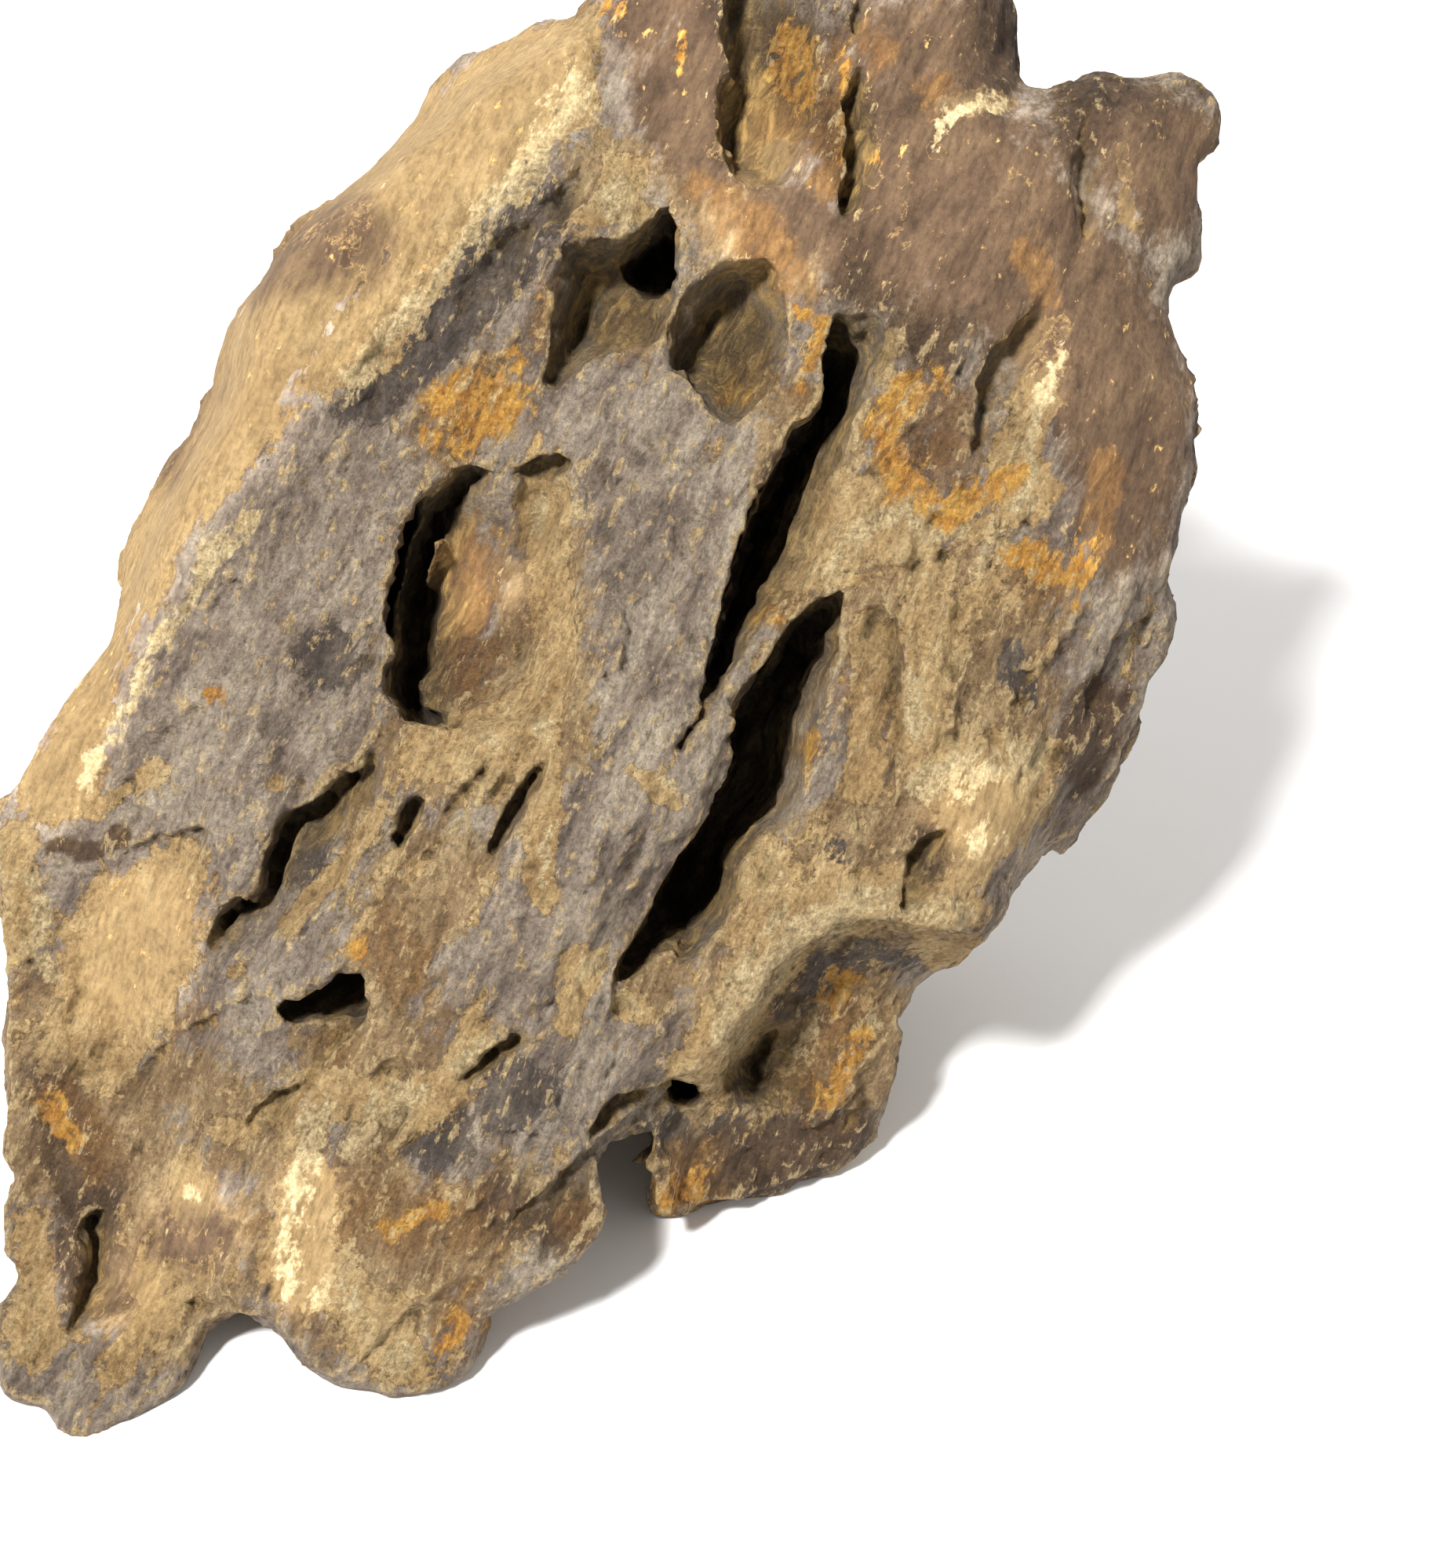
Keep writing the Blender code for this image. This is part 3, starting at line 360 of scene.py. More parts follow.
# Each crack: its course in pixels, its half width in pixels and its depth in millimetres.
CRACKS = [
    ([(503, 588), (530, 586), (560, 571), (600, 573), (636, 580)], 4, 1.2),
    ([(803, 621), (838, 580), (880, 541)], 3, 0.6),
    ([(480, 1482), (522, 1462), (562, 1444), (580, 1420)], 4, 1.0),
    ([(168, 1452), (195, 1440), (222, 1442)], 3, 0.9),
    ([(673, 801), (690, 795), (706, 798)], 3, 0.9),
    ([(513, 880), (540, 886), (556, 878)], 4, 1.4),
    ([(520, 904), (545, 916), (562, 906)], 4, 1.4),
    ([(1000, 1322), (985, 1330), (974, 1352), (962, 1384), (948, 1412)], 6, 2.5),
    ([(958, 1236), (980, 1268), (1012, 1282), (1040, 1270)], 5, 1.4),
    ([(700, 755), (706, 830), (700, 880)], 3, 0.5),
    ([(1176, 690), (1160, 740), (1140, 790)], 5, 1.2),
    ([(1298, 420), (1300, 500), (1290, 560)], 4, 0.8),
    ([(1096, 420), (1084, 445), (1062, 500)], 5, 1.2),
    ([(945, 190), (962, 168), (985, 150)], 4, 0.9),
    ([(930, 400), (950, 402), (962, 388)], 4, 1.0),
    ([(120, 1500), (130, 1520), (118, 1550)], 5, 2.0),
    ([(560, 1556), (556, 1566)], 5, 2.0),
]

# Each ridge: its course in pixels, its half width in pixels and its height in millimetres.
RIDGES = [
    ([(640, 604), (646, 640), (646, 685), (634, 735), (641, 780), (630, 845)], 9, 1.4),
    ([(562, 672), (548, 700), (533, 728), (519, 754)], 7, 12),
    ([(1238, 1160), (1192, 1168), (1150, 1160), (1108, 1158), (1070, 1166), (1034, 1182), (1000, 1206),
      (972, 1238), (948, 1278), (928, 1312), (912, 1352)], 26, 3.4),
    ([(735, 958), (790, 977), (852, 1012), (880, 1030)], 5, 0.6),
    ([(545, 1408), (575, 1383), (600, 1353), (650, 1316), (690, 1306)], 8, 1.0),
    ([(1040, 900), (1034, 960), (1012, 1025)], 6, 1.2),
    ([(90, 1060), (130, 965), (190, 880), (260, 760), (300, 690), (420, 600), (450, 560)], 10, 0.6),
    ([(452, 540), (520, 450), (580, 370), (640, 300), (690, 260), (745, 190), (760, 120)], 12, 0.9),
    ([(1145, 450), (1122, 487), (1102, 520), (1084, 560)], 10, 0.9),
    ([(770, 198), (800, 250), (806, 300)], 10, 0.8),
    ([(1150, 120), (1160, 200), (1155, 320)], 5, 0.7),
    ([(1190, 60), (1200, 120), (1182, 200)], 8, 0.7),
    ([(1265, 130), (1230, 150), (1195, 170)], 8, 0.7),
]

# Each ribbed wall: its outline in pixels, the direction that its ribs run in, and their height in
# millimetres.
RIBS = [
    ([(712, 308), (690, 495), (735, 472), (778, 310)], (-0.22, 1), 4.5),
    ([(848, 470), (852, 415), (868, 382), (900, 348), (930, 370), (902, 420), (890, 480),
      (870, 476)], (-0.5, 1), 4.5),
    ([(590, 1104), (640, 975), (694, 932), (706, 965), (640, 1084)], (-0.5, 1), 0.9),
    ([(1130, 690), (1380, 690), (1360, 1010), (1130, 1060)], (-0.06, 1), 1.9),
    ([(1130, 400), (1500, 350), (1470, 690), (1130, 600)], (-0.02, 1), 0.25),
    ([(640, 600), (752, 628), (735, 880), (620, 900)], (-0.1, 1), 0.5),
    ([(920, 780), (1110, 715), (1084, 750), (925, 960), (868, 968)], (-0.75, 0.66), 1.3),
    ([(950, 1180), (1130, 1190), (1180, 1220), (1100, 1420), (930, 1400)], (-0.62, 0.78), 1.8),
    ([(1052, 420), (1140, 410), (1130, 480), (1060, 720), (930, 850), (1000, 640)], (-0.4, 1), 0.7),
    ([(810, 1430), (1110, 1430), (1110, 1570), (800, 1570)], (0.9, -0.35), 1.0),
    ([(390, 1160), (480, 1000), (340, 1050), (260, 1230)], (-0.55, 0.8), 0.4),
    ([(350, 1400), (200, 1430), (180, 1660), (350, 1660)], (-0.12, 1), 1.2),
    ([(420, 1400), (700, 1400), (640, 1700), (400, 1740)], (-0.35, 1), 0.9),
    ([(200, 620), (600, 100), (740, 60), (440, 540), (100, 1040), (30, 1080)], (-0.6, 0.8), 0.5),
]

# Leaning cuts under the steep sides, in millimetres: stations (u, v, half width, depth), how far the cut
# leans for each millimetre down, and how deep it starts.
UNDERCUTS = [
    ([(-55, 56, 4, 20), (-60, 44, 5, 26), (-63, 30, 5, 24), (-64, 18, 3, 14)], (-0.5, 0.1), 5),
    ([(-12, 107, 4, 16), (-12, 99, 5, 22), (-14, 92, 3.5, 12)], (0.3, 0.45), 6),
    ([(20, 84, 2.5, 36), (14, 68, 4, 44), (6, 50, 4.5, 44), (1, 34, 3.5, 40),
      (-3, 22, 2, 24)], (-0.34, 0.1), 6),
    ([(18, 28, 3, 38), (11, 12, 4.5, 46), (4, -3, 4.5, 46), (-4, -18, 4, 40),
      (-9, -29, 2.5, 24)], (-0.3, 0.1), 6),
    ([(-82, -43, 2, 10), (-75, -39, 3, 16), (-70, -38, 2.4, 12)], (0, 0.3), 3),
    ([(-40, 61, 2, 3), (-33, 63, 2, 4)], (0, 1.2), 1),
]

# Each patch of colour or surface: how wide its border can get, and its strokes of (photo x, photo y,
# radius), all in pixels.
PATCHES = {
    # Where the dark skin is gone.
    "sand": (110, [
        [(60, 1000, 50), (130, 830, 40), (200, 640, 45), (290, 520, 60), (360, 380, 70), (450, 270, 75),
         (560, 170, 65), (650, 110, 55), (740, 40, 30)],
        [(430, 470, 36), (520, 350, 44), (620, 210, 50), (710, 120, 40)], [(30, 1080, 30), (20, 1200, 24)],
        [(225, 1128, 50), (180, 1180, 78), (160, 1240, 80), (125, 1340, 50)],
        [(390, 1400, 35), (385, 1520, 34), (370, 1640, 34)], [(440, 1650, 45), (500, 1720, 40)],
        [(1180, 720, 30), (1190, 850, 30), (1170, 930, 30), (1230, 1000, 55), (1340, 960, 30),
         (1250, 1070, 45), (1180, 1190, 18)],
        [(690, 640, 34), (700, 720, 22), (715, 820, 22), (690, 900, 26), (600, 950, 36), (545, 960, 26)],
        [(1350, 420, 26), (1310, 520, 30), (1280, 590, 24), (1330, 620, 16)],
        [(1090, 640, 40), (1050, 700, 36), (1150, 660, 34), (1230, 675, 14), (1130, 600, 20)],
        [(1240, 1165, 20), (1160, 1150, 28), (1090, 1145, 30), (1030, 1170, 30), (975, 1225, 30),
         (940, 1285, 30), (905, 1350, 34)],
        [(875, 1370, 30)], [(1140, 1130, 24), (1060, 1125, 16)], [(970, 1090, 24), (950, 1200, 22)],
        [(700, 1040, 16), (690, 940, 24), (690, 1140, 18)], [(1110, 660, 30), (1060, 700, 20)],
        [(1300, 640, 24)], [(1105, 800, 22), (1100, 1000, 22)],
        [(40, 1560, 25), (40, 1660, 30), (40, 1730, 20)],
        [(190, 1640, 28), (230, 1640, 24), (150, 1740, 26)],
        [(800, 220, 26), (770, 270, 14), (812, 270, 14)], [(240, 1490, 22), (245, 1540, 18)],
        [(440, 1400, 32), (500, 1410, 22)], [(620, 1250, 10), (575, 1380, 20), (540, 1410, 18)],
        [(797, 1280, 20)], [(820, 1290, 12)], [(1190, 1220, 16), (1240, 1205, 14)],
        [(740, 1230, 28), (720, 1300, 20)], [(855, 1020, 14), (800, 980, 10)], [(575, 1520, 18)],
        [(1430, 190, 12), (1436, 280, 10)], [(1110, 60, 6)], [(1200, 130, 14), (1270, 130, 18)],
        [(1190, 190, 12)], [(1156, 310, 8)], [(1110, 230, 10), (1108, 160, 10)], [(985, 190, 22)],
        [(1140, 430, 12), (1125, 480, 12)], [(1030, 640, 14)], [(830, 1500, 20)], [(1060, 1480, 10)],
        [(1010, 740, 10), (1100, 740, 10)], [(1300, 1010, 40)], [(350, 1000, 10)],
        [(430, 1120, 12), (480, 1040, 10), (370, 1180, 12)], [(200, 980, 16), (120, 1040, 14)],
        [(1070, 1480, 20)], [(300, 1240, 14)], [(280, 1440, 16)]]),
    # Where the stone is rusty.
    "rust": (60, [
        [(590, 510, 44), (640, 510, 36), (590, 555, 30)], [(545, 560, 18)], [(655, 460, 18)],
        [(690, 380, 10)], [(1010, 60, 34), (1020, 100, 30), (1030, 135, 16)],
        [(1075, 440, 10), (1052, 530, 9)],
        [(1150, 500, 26), (1125, 560, 26), (1150, 620, 26), (1200, 650, 24), (1260, 630, 22),
         (1295, 600, 16)],
        [(1190, 480, 18)], [(1010, 395, 10), (1050, 410, 9), (1020, 500, 10)], [(275, 880, 14)],
        [(465, 1215, 18)], [(1080, 1250, 22), (1060, 1270, 22)], [(1090, 1330, 20), (1060, 1400, 26)],
        [(1300, 710, 22), (1370, 730, 18), (1385, 690, 12)], [(1375, 770, 9)],
        [(590, 1690, 24), (560, 1720, 12)], [(780, 10, 18)], [(935, 500, 20)],
        [(870, 60, 8), (870, 100, 6)], [(850, 1530, 26), (890, 1510, 18)], [(1085, 60, 6), (1074, 200, 6)],
        [(1120, 200, 7)], [(1030, 1000, 8), (1040, 940, 7)], [(60, 1410, 18), (90, 1460, 14)],
        [(985, 790, 12), (940, 790, 14)], [(490, 1570, 14), (560, 1540, 12)]]),
    # Where the skin is an even brown; on the low lobe under the rounded ledge it is painted shade as well.
    "brown": (130, [
        [(1230, 250, 130), (1330, 350, 110), (1440, 480, 100), (1430, 690, 60)],
        [(1120, 330, 80), (1130, 180, 80)], [(860, 30, 70), (880, 130, 70), (900, 220, 50)],
        [(1000, 280, 60)], [(980, 60, 60), (970, 160, 50)], [(1130, 50, 60), (1240, 60, 90)],
        [(1180, 420, 60)], [(1480, 200, 100), (1400, 150, 80)],
        [(960, 1490, 60), (850, 1490, 40), (1080, 1460, 40)], [(340, 340, 60), (450, 300, 60)],
        [(250, 480, 40), (200, 600, 30)], [(60, 1092, 10), (150, 1068, 12)],
        [(60, 1380, 40), (100, 1470, 40), (120, 1640, 50)], [(590, 740, 60), (570, 850, 45)],
        [(640, 1540, 40)], [(250, 1580, 50)], [(1190, 1090, 34)], [(1000, 600, 30)], [(720, 1560, 50)],
        [(1400, 900, 40), (1380, 980, 30)], [(930, 440, 50)]]),
    # Where the stone is stained orange-brown.
    "tawny": (100, [
        [(890, 230, 24), (960, 290, 40), (1010, 370, 30)], [(1060, 80, 30), (1060, 230, 24)],
        [(985, 150, 60)], [(1310, 320, 24), (1340, 390, 20)], [(1410, 600, 28), (1400, 700, 20)],
        [(1180, 560, 90)], [(1010, 480, 26), (1030, 530, 20)], [(700, 360, 20), (690, 430, 20)],
        [(570, 540, 60)], [(950, 480, 34)], [(780, 400, 30)], [(580, 700, 50), (600, 860, 40)],
        [(480, 1180, 40), (520, 1250, 40)], [(430, 1330, 36)], [(80, 1400, 50), (120, 1470, 40)],
        [(460, 1560, 60), (580, 1560, 60)], [(590, 1680, 60)], [(330, 1560, 30)],
        [(1080, 1300, 60), (1040, 1390, 50)], [(880, 1510, 60)], [(1330, 740, 50)], [(1030, 960, 26)],
        [(100, 760, 30), (60, 940, 30)], [(240, 1300, 40)], [(740, 1560, 40)], [(1000, 780, 40)],
        [(1120, 60, 30)], [(1200, 120, 30)], [(1100, 880, 50)]]),
    # Where the skin is dark grey; on the crescent that faces away from the light, in the dent and on the low
    # lobe under the rounded ledge it is painted shade as well.
    "slate": (100, [
        [(470, 510, 36), (540, 430, 44), (620, 350, 48), (690, 270, 40)], [(420, 840, 40)],
        [(1290, 840, 20), (1310, 900, 14)], [(330, 560, 20)], [(930, 160, 20)], [(1060, 1100, 24)],
        [(560, 1450, 50)], [(380, 1090, 40)], [(660, 1400, 50)],
        [(1180, 1215, 14), (1080, 1225, 24), (1010, 1270, 30)], [(960, 1330, 22), (950, 1390, 20)],
        [(1230, 220, 30)], [(1370, 520, 40), (1440, 530, 40)], [(850, 1440, 30)],
        [(930, 1460, 40), (1060, 1440, 30)], [(655, 200, 26)], [(1190, 570, 24)], [(620, 780, 24)]]),
    # Where the stone is palest, and painted highlight along the lit crests: the flank's edge, the peak, the
    # spine and the rounded ledge.
    "pale": (60, [
        [(440, 500, 16), (520, 400, 16), (580, 330, 18), (640, 260, 20), (700, 170, 26), (730, 110, 26)],
        [(770, 250, 34), (800, 290, 18)], [(1300, 570, 14), (1310, 640, 20)],
        [(1230, 680, 16), (1110, 660, 20), (1070, 700, 20)], [(1060, 720, 14)],
        [(1270, 130, 16), (1200, 150, 10), (1185, 190, 10)], [(1155, 310, 6)],
        [(1350, 440, 10), (1325, 520, 14), (1290, 580, 12)], [(1160, 860, 16), (1170, 930, 18)],
        [(1190, 1000, 34), (1310, 960, 28)], [(1250, 1070, 28)], [(1060, 1260, 18), (1020, 1340, 14)],
        [(1110, 1300, 16)],
        [(1220, 1168, 20), (1100, 1150, 24), (1020, 1185, 28), (960, 1250, 28), (925, 1320, 28)],
        [(450, 1460, 26), (520, 1400, 24)],
        [(400, 1410, 20), (385, 1500, 18), (365, 1600, 18), (370, 1650, 20)], [(470, 1400, 16)],
        [(580, 1360, 12), (620, 1335, 10), (650, 1318, 8)], [(690, 640, 16), (680, 680, 12)],
        [(700, 930, 22)], [(620, 940, 16)], [(700, 1060, 10), (690, 1120, 10)], [(750, 1230, 18)],
        [(797, 1280, 14)], [(430, 1650, 30)], [(500, 1730, 26)], [(735, 620, 8), (745, 660, 8)],
        [(620, 1010, 6), (575, 1060, 6)], [(60, 1240, 16), (40, 1120, 14)],
        [(110, 1000, 14), (180, 860, 14), (240, 760, 14), (320, 660, 14)], [(450, 1120, 5), (400, 1180, 5)],
        [(575, 1520, 12)], [(240, 1520, 12)], [(840, 1000, 6), (870, 1020, 6)], [(1010, 640, 8)]]),
    # Where the surface is smooth.
    "calm": (90, [
        [(60, 1000, 60), (130, 830, 50), (200, 640, 60), (290, 520, 80), (380, 380, 100), (470, 270, 95),
         (580, 170, 80), (680, 90, 70)],
        [(190, 1180, 66), (160, 1240, 70)], [(1250, 1040, 60)],
        [(1230, 250, 150), (1330, 350, 110), (1440, 500, 100), (1430, 680, 60)],
        [(1000, 290, 90), (880, 120, 80), (850, 30, 80)], [(1480, 220, 90)], [(1160, 60, 90)],
        [(250, 1560, 60)], [(390, 1520, 40), (380, 1640, 40)], [(600, 740, 60)], [(140, 1640, 60)]]),
    # Where the dark outer skin is whole.
    "plate": (110, [
        [(80, 1085, 30), (170, 1052, 34), (262, 1030, 34), (305, 1100, 26)],
        [(300, 760, 90), (420, 830, 80), (300, 960, 70)], [(430, 640, 60)],
        [(850, 680, 90), (840, 860, 80)], [(800, 540, 60)], [(800, 1020, 70)],
        [(740, 1130, 60), (640, 1230, 60), (560, 1290, 50)], [(660, 1420, 60), (560, 1490, 40)],
        [(580, 420, 50), (660, 320, 50)], [(330, 1330, 50)], [(250, 1440, 50)], [(620, 1530, 30)],
        [(300, 1510, 26)]]),
    # Where the dark skin is stained tan.
    "warm": (130, [
        [(560, 1330, 100), (560, 1500, 130), (480, 1620, 120)], [(250, 1480, 150), (200, 1620, 110)],
        [(560, 1130, 80), (500, 1220, 50)], [(700, 700, 60), (690, 920, 80), (560, 960, 70)],
        [(570, 760, 60)], [(1130, 780, 80), (1240, 780, 110), (1220, 980, 110)],
        [(1150, 1100, 120), (1010, 1150, 90)], [(1000, 1300, 130), (1080, 1320, 100)], [(950, 1500, 120)],
        [(1030, 560, 70), (980, 760, 50)], [(60, 1300, 80), (60, 1450, 90)], [(600, 500, 70)],
        [(780, 240, 60)], [(900, 220, 70), (1000, 320, 70)], [(800, 400, 60)], [(950, 480, 40)],
        [(420, 1330, 60)], [(830, 1240, 50)], [(440, 1010, 40)]]),
}


def linear(r, g, b):
    """A colour given as 0 to 255 on screen, for a shader."""
    shares = [c / 255 for c in (r, g, b)]
    return tuple(c / 12.92 if c <= 0.04 else ((c + 0.055) / 1.055) ** 2.4 for c in shares) + (1,)


def to_world(uvw):
    return ORIGIN + np.asarray(uvw, float) @ AXES


def to_face(points):
    return (points - ORIGIN) @ AXES.T


def to_photo(uvw):
    """The photograph's pixel that each point given in face axes falls on."""
    near = CAMERA_DISTANCE / (CAMERA_DISTANCE - uvw[:, 2]) / PHOTO_SCALE
    return np.column_stack([PHOTO_WIDTH / 2 + uvw[:, 0] * near, PHOTO_HEIGHT / 2 - uvw[:, 1] * near])


def eased(value, low, high):
    """0 below low, 1 above high, and a smooth rise between."""
    t = np.clip((value - low) / (high - low), 0, 1)
    return t * t * (3 - 2 * t)


def hashed(cells, seed):
    """A repeatable whole number for each cell of a lattice."""
    x, y, z = (cells[:, i].astype(np.uint32) for i in range(3))
    mixed = x * np.uint32(374761393) + y * np.uint32(668265263) + z * np.uint32(2246822519)
    mixed = mixed + np.uint32(seed * 3266489917 & 0xFFFFFFFF)
    mixed = (mixed ^ (mixed >> np.uint32(15))) * np.uint32(2246822519)
    mixed = (mixed ^ (mixed >> np.uint32(13))) * np.uint32(3266489917)
    return mixed ^ (mixed >> np.uint32(16))


def noise(points, size, seed=0):
    """Smooth noise from about -1 to 1 with forms of about the given size."""
    at = points / size
    low = np.floor(at)
    part = at - low
    ease = part ** 3 * (part * (part * 6 - 15) + 10)
    total = np.zeros(len(points))
    for corner in itertools.product((0, 1), repeat=3):
        number = hashed((low + corner).astype(np.int64), seed)
        slope = np.column_stack([(number >> np.uint32(bits) & np.uint32(1023)) / 511.5 - 1
                                 for bits in (0, 10, 20)])
        weight = np.prod(np.where(corner, ease, 1 - ease), axis=1)
        total += weight * ((part - corner) * slope).sum(axis=1)
    return total * 1.3


def layers(points, size, count, seed=0, gain=0.5):
    """Noise with finer and finer layers on it."""
    return sum(gain ** i * noise(points, size / 2 ** i, seed + i) for i in range(count))


def along_grain(uvw):
    """Face coordinates squeezed along the grain, so that noise made from them runs along it."""
    c, s = math.cos(GRAIN_ANGLE), math.sin(GRAIN_ANGLE)
    along = uvw[:, 0] * c + uvw[:, 1] * s
    across = uvw[:, 0] * s - uvw[:, 1] * c
    return np.column_stack([along / GRAIN_STRETCH, across, uvw[:, 2]])


def curve(line, step):
    """A smooth curve through a short list of stations, read off about every step."""
    line = np.array(line, float)
    if len(line) < 3:
        return line
    ends = np.vstack([2 * line[0] - line[1], line, 2 * line[-1] - line[-2]])
    rows = []
    for before, start, end, after in zip(ends, ends[1:], ends[2:], ends[3:]):
        count = max(1, round(np.linalg.norm((end - start)[:2]) / step))
        for t in np.arange(count) / count:
            rows.append(0.5 * (2 * start + (end - before) * t
                               + (2 * before - 5 * start + 4 * end - after) * t ** 2
                               + (3 * start - before - 3 * end + after) * t ** 3))
    return np.array(rows + [line[-1]])


def stations(line):
    """The lengths of a line's parts, and how far along it each of its points lies."""
    lengths = np.linalg.norm(np.diff(line[:, :2], axis=0), axis=1)
    return lengths, np.concatenate([[0], np.cumsum(lengths)])


def line_gap(places, line):
    """Each place's distance to a line, on which side it is, and how far the nearest point is from an end."""
    best = np.full(len(places), 1e9)
    side, where = np.zeros(len(places)), np.zeros(len(places))
    lengths, starts = stations(line)
    for i, (start, end) in enumerate(zip(line[:, :2], line[1:, :2])):
        along = end - start
        offset = places - start
        t = np.clip(offset @ along / (along @ along), 0, 1)
        gap = np.linalg.norm(offset - t[:, None] * along, axis=1)
        closer = gap < best
        best = np.where(closer, gap, best)
        side = np.where(closer, along[0] * offset[:, 1] - along[1] * offset[:, 0], side)
        where = np.where(closer, starts[i] + t * lengths[i], where)
    return best, side, np.minimum(where, starts[-1] - where)


def inside(places, ring):
    """Which places lie inside a closed outline."""
    within = np.zeros(len(places), bool)
    for (x0, y0), (x1, y1) in zip(ring, np.roll(ring, -1, axis=0)):
        if y0 != y1:
            crossed = (places[:, 1] < y0) != (places[:, 1] < y1)
            within ^= crossed & (places[:, 0] < x0 + (places[:, 1] - y0) * (x1 - x0) / (y1 - y0))
    return within


def near_box(places, outline, margin):
    """The numbers of the places that lie in or near the outline's box."""
    low, high = outline[:, :2].min(axis=0) - margin, outline[:, :2].max(axis=0) + margin
    return np.nonzero(((places > low) & (places < high)).all(axis=1))[0]


def hollow_depth(pixels, steep, gentle, profile):
    """How deep one hollow is at each pixel."""
    steep, gentle = curve(steep, HOLLOW_STEP), curve([steep[0], *gentle, steep[-1]], HOLLOW_STEP)
    ring = np.vstack([steep, gentle[::-1]])
    depth = np.zeros(len(pixels))
    chosen = near_box(pixels, ring, 1)
    chosen = chosen[inside(pixels[chosen], ring)]
    if len(chosen):
        to_steep, to_gentle = line_gap(pixels[chosen], steep)[0], line_gap(pixels[chosen], gentle)[0]
        width = to_steep + to_gentle + 0.01
        narrow = np.minimum(1, width / (NARROW_SHARE * width.max()))
        depth[chosen] = np.interp(to_gentle / width, *zip(*profile)) * narrow ** 0.7
    return depth


def ledge_depth(pixels, line, drop, reach):
    """How much lower the ground lies beside one ledge."""
    line = curve(line, LINE_STEP)
    depth = np.zeros(len(pixels))
    chosen = near_box(pixels, line, reach)
    gap, side, from_end = line_gap(pixels[chosen], line)
    depth[chosen] = drop * (1 - eased(gap, 0, reach)) * (side < 0) * eased(from_end, *LEDGE_FADE)
    return depth


def band(pixels, line, half, height):
    """A soft band along a line, for cracks and ridges."""
    line = curve(line, LINE_STEP)
    raised = np.zeros(len(pixels))
    chosen = near_box(pixels, line, 3 * half)
    gap, _, from_end = line_gap(pixels[chosen], line)
    raised[chosen] = height * np.exp(-(gap / half) ** 2) * eased(from_end, *BAND_FADE)
    return raised


def patch(pixels, name):
    """How near each pixel is to a patch's strokes: 1 inside one, with a soft edge, and 0 outside."""
    softest, strokes = PATCHES[name]
    field = np.zeros(len(pixels))
    for stroke in strokes:
        stroke = np.array(stroke, float)
        if len(stroke) == 1:
            stroke = np.vstack([stroke, stroke + (0.5, 0.5, 0)])
        soft = np.clip(1.5 * stroke[:, 2].mean(), SOFT_LEAST, softest)
        chosen = near_box(pixels, stroke, stroke[:, 2].max() + soft)
        here = pixels[chosen]
        for start, end in zip(stroke, stroke[1:]):
            along = (end - start)[:2]
            t = np.clip(((here - start[:2]) @ along) / (along @ along), 0, 1)
            gap = np.linalg.norm(here - start[:2] - t[:, None] * along, axis=1)
            radius = start[2] + t * (end[2] - start[2])
            field[chosen] = np.maximum(field[chosen], 1 - eased(gap, radius - soft / 2, radius + soft / 2))
    return field


def padded_along(grid, axis, before, after):
    """A grid whose first and last rows along one axis are repeated."""
    pads = [(0, 0), (0, 0)]
    pads[axis] = (before, after)
    return np.pad(grid, pads, mode="edge")


def spread_grid(grid, reach, rounds=3):
    """A grid averaged over squares of the given reach in cells."""
    for _ in range(rounds):
        for axis in (0, 1):
            total = np.cumsum(padded_along(grid, axis, reach + 1, reach), axis=axis)
            size = grid.shape[axis]
            high = np.take(total, range(2 * reach + 1, 2 * reach + 1 + size), axis=axis)
            low = np.take(total, range(size), axis=axis)
            grid = (high - low) / (2 * reach + 1)
    return grid


def extreme_grid(grid, reach, pick):
    """The highest or lowest value within the given reach in cells."""
    for axis in (0, 1):
        padded = padded_along(grid, axis, reach, reach)
        windows = np.lib.stride_tricks.sliding_window_view(padded, 2 * reach + 1, axis=axis)
        grid = pick(windows, axis=-1)
    return grid


def shifted(padded, i, j):
    """The part of a grid padded by one cell that lies i and j cells from the middle."""
    return padded[1 + i:padded.shape[0] - 1 + i, 1 + j:padded.shape[1] - 1 + j]


def filled_out(grid):
    """Missing values taken from their neighbours, ring by ring."""
    grid = grid.copy()
    while np.isnan(grid).any():
        padded = np.pad(grid, 1, constant_values=np.nan)
        around = np.stack([shifted(padded, i, j) for i in (-1, 0, 1) for j in (-1, 0, 1)])
        known = ~np.isnan(around)
        total, count = np.where(known, around, 0).sum(axis=0), known.sum(axis=0)
        new = np.isnan(grid) & (count > 0)
        grid[new] = total[new] / count[new]
    return grid


def finer(grid):
    """A grid with COARSE times as many cells each way."""
    for axis in (0, 1):
        size = grid.shape[axis]
        at = np.arange((size - 1) * COARSE + 1) / COARSE
        low = np.minimum(at.astype(int), size - 2)
        part = at - low
        part = part[:, None] if axis == 0 else part[None]
        grid = np.take(grid, low, axis=axis) * (1 - part) + np.take(grid, low + 1, axis=axis) * part
    return grid


def finer_places(places):
    """The places of the coarse grid's lines with COARSE times as many cells."""
    return places[0] + np.arange((len(places) - 1) * COARSE + 1) * GRID_STEP


def struck(skin, u, v, start):
    """The height at which a ray along the face's normal, from start towards the stone, meets the skin."""
    way = Vector(AXES[2])
    hit = skin.ray_cast(Vector(to_world((u, v, start)) * MM), -way if start > 0 else way)[0]
    return np.nan if hit is None else to_face(np.array(hit)[None] / MM)[0, 2]


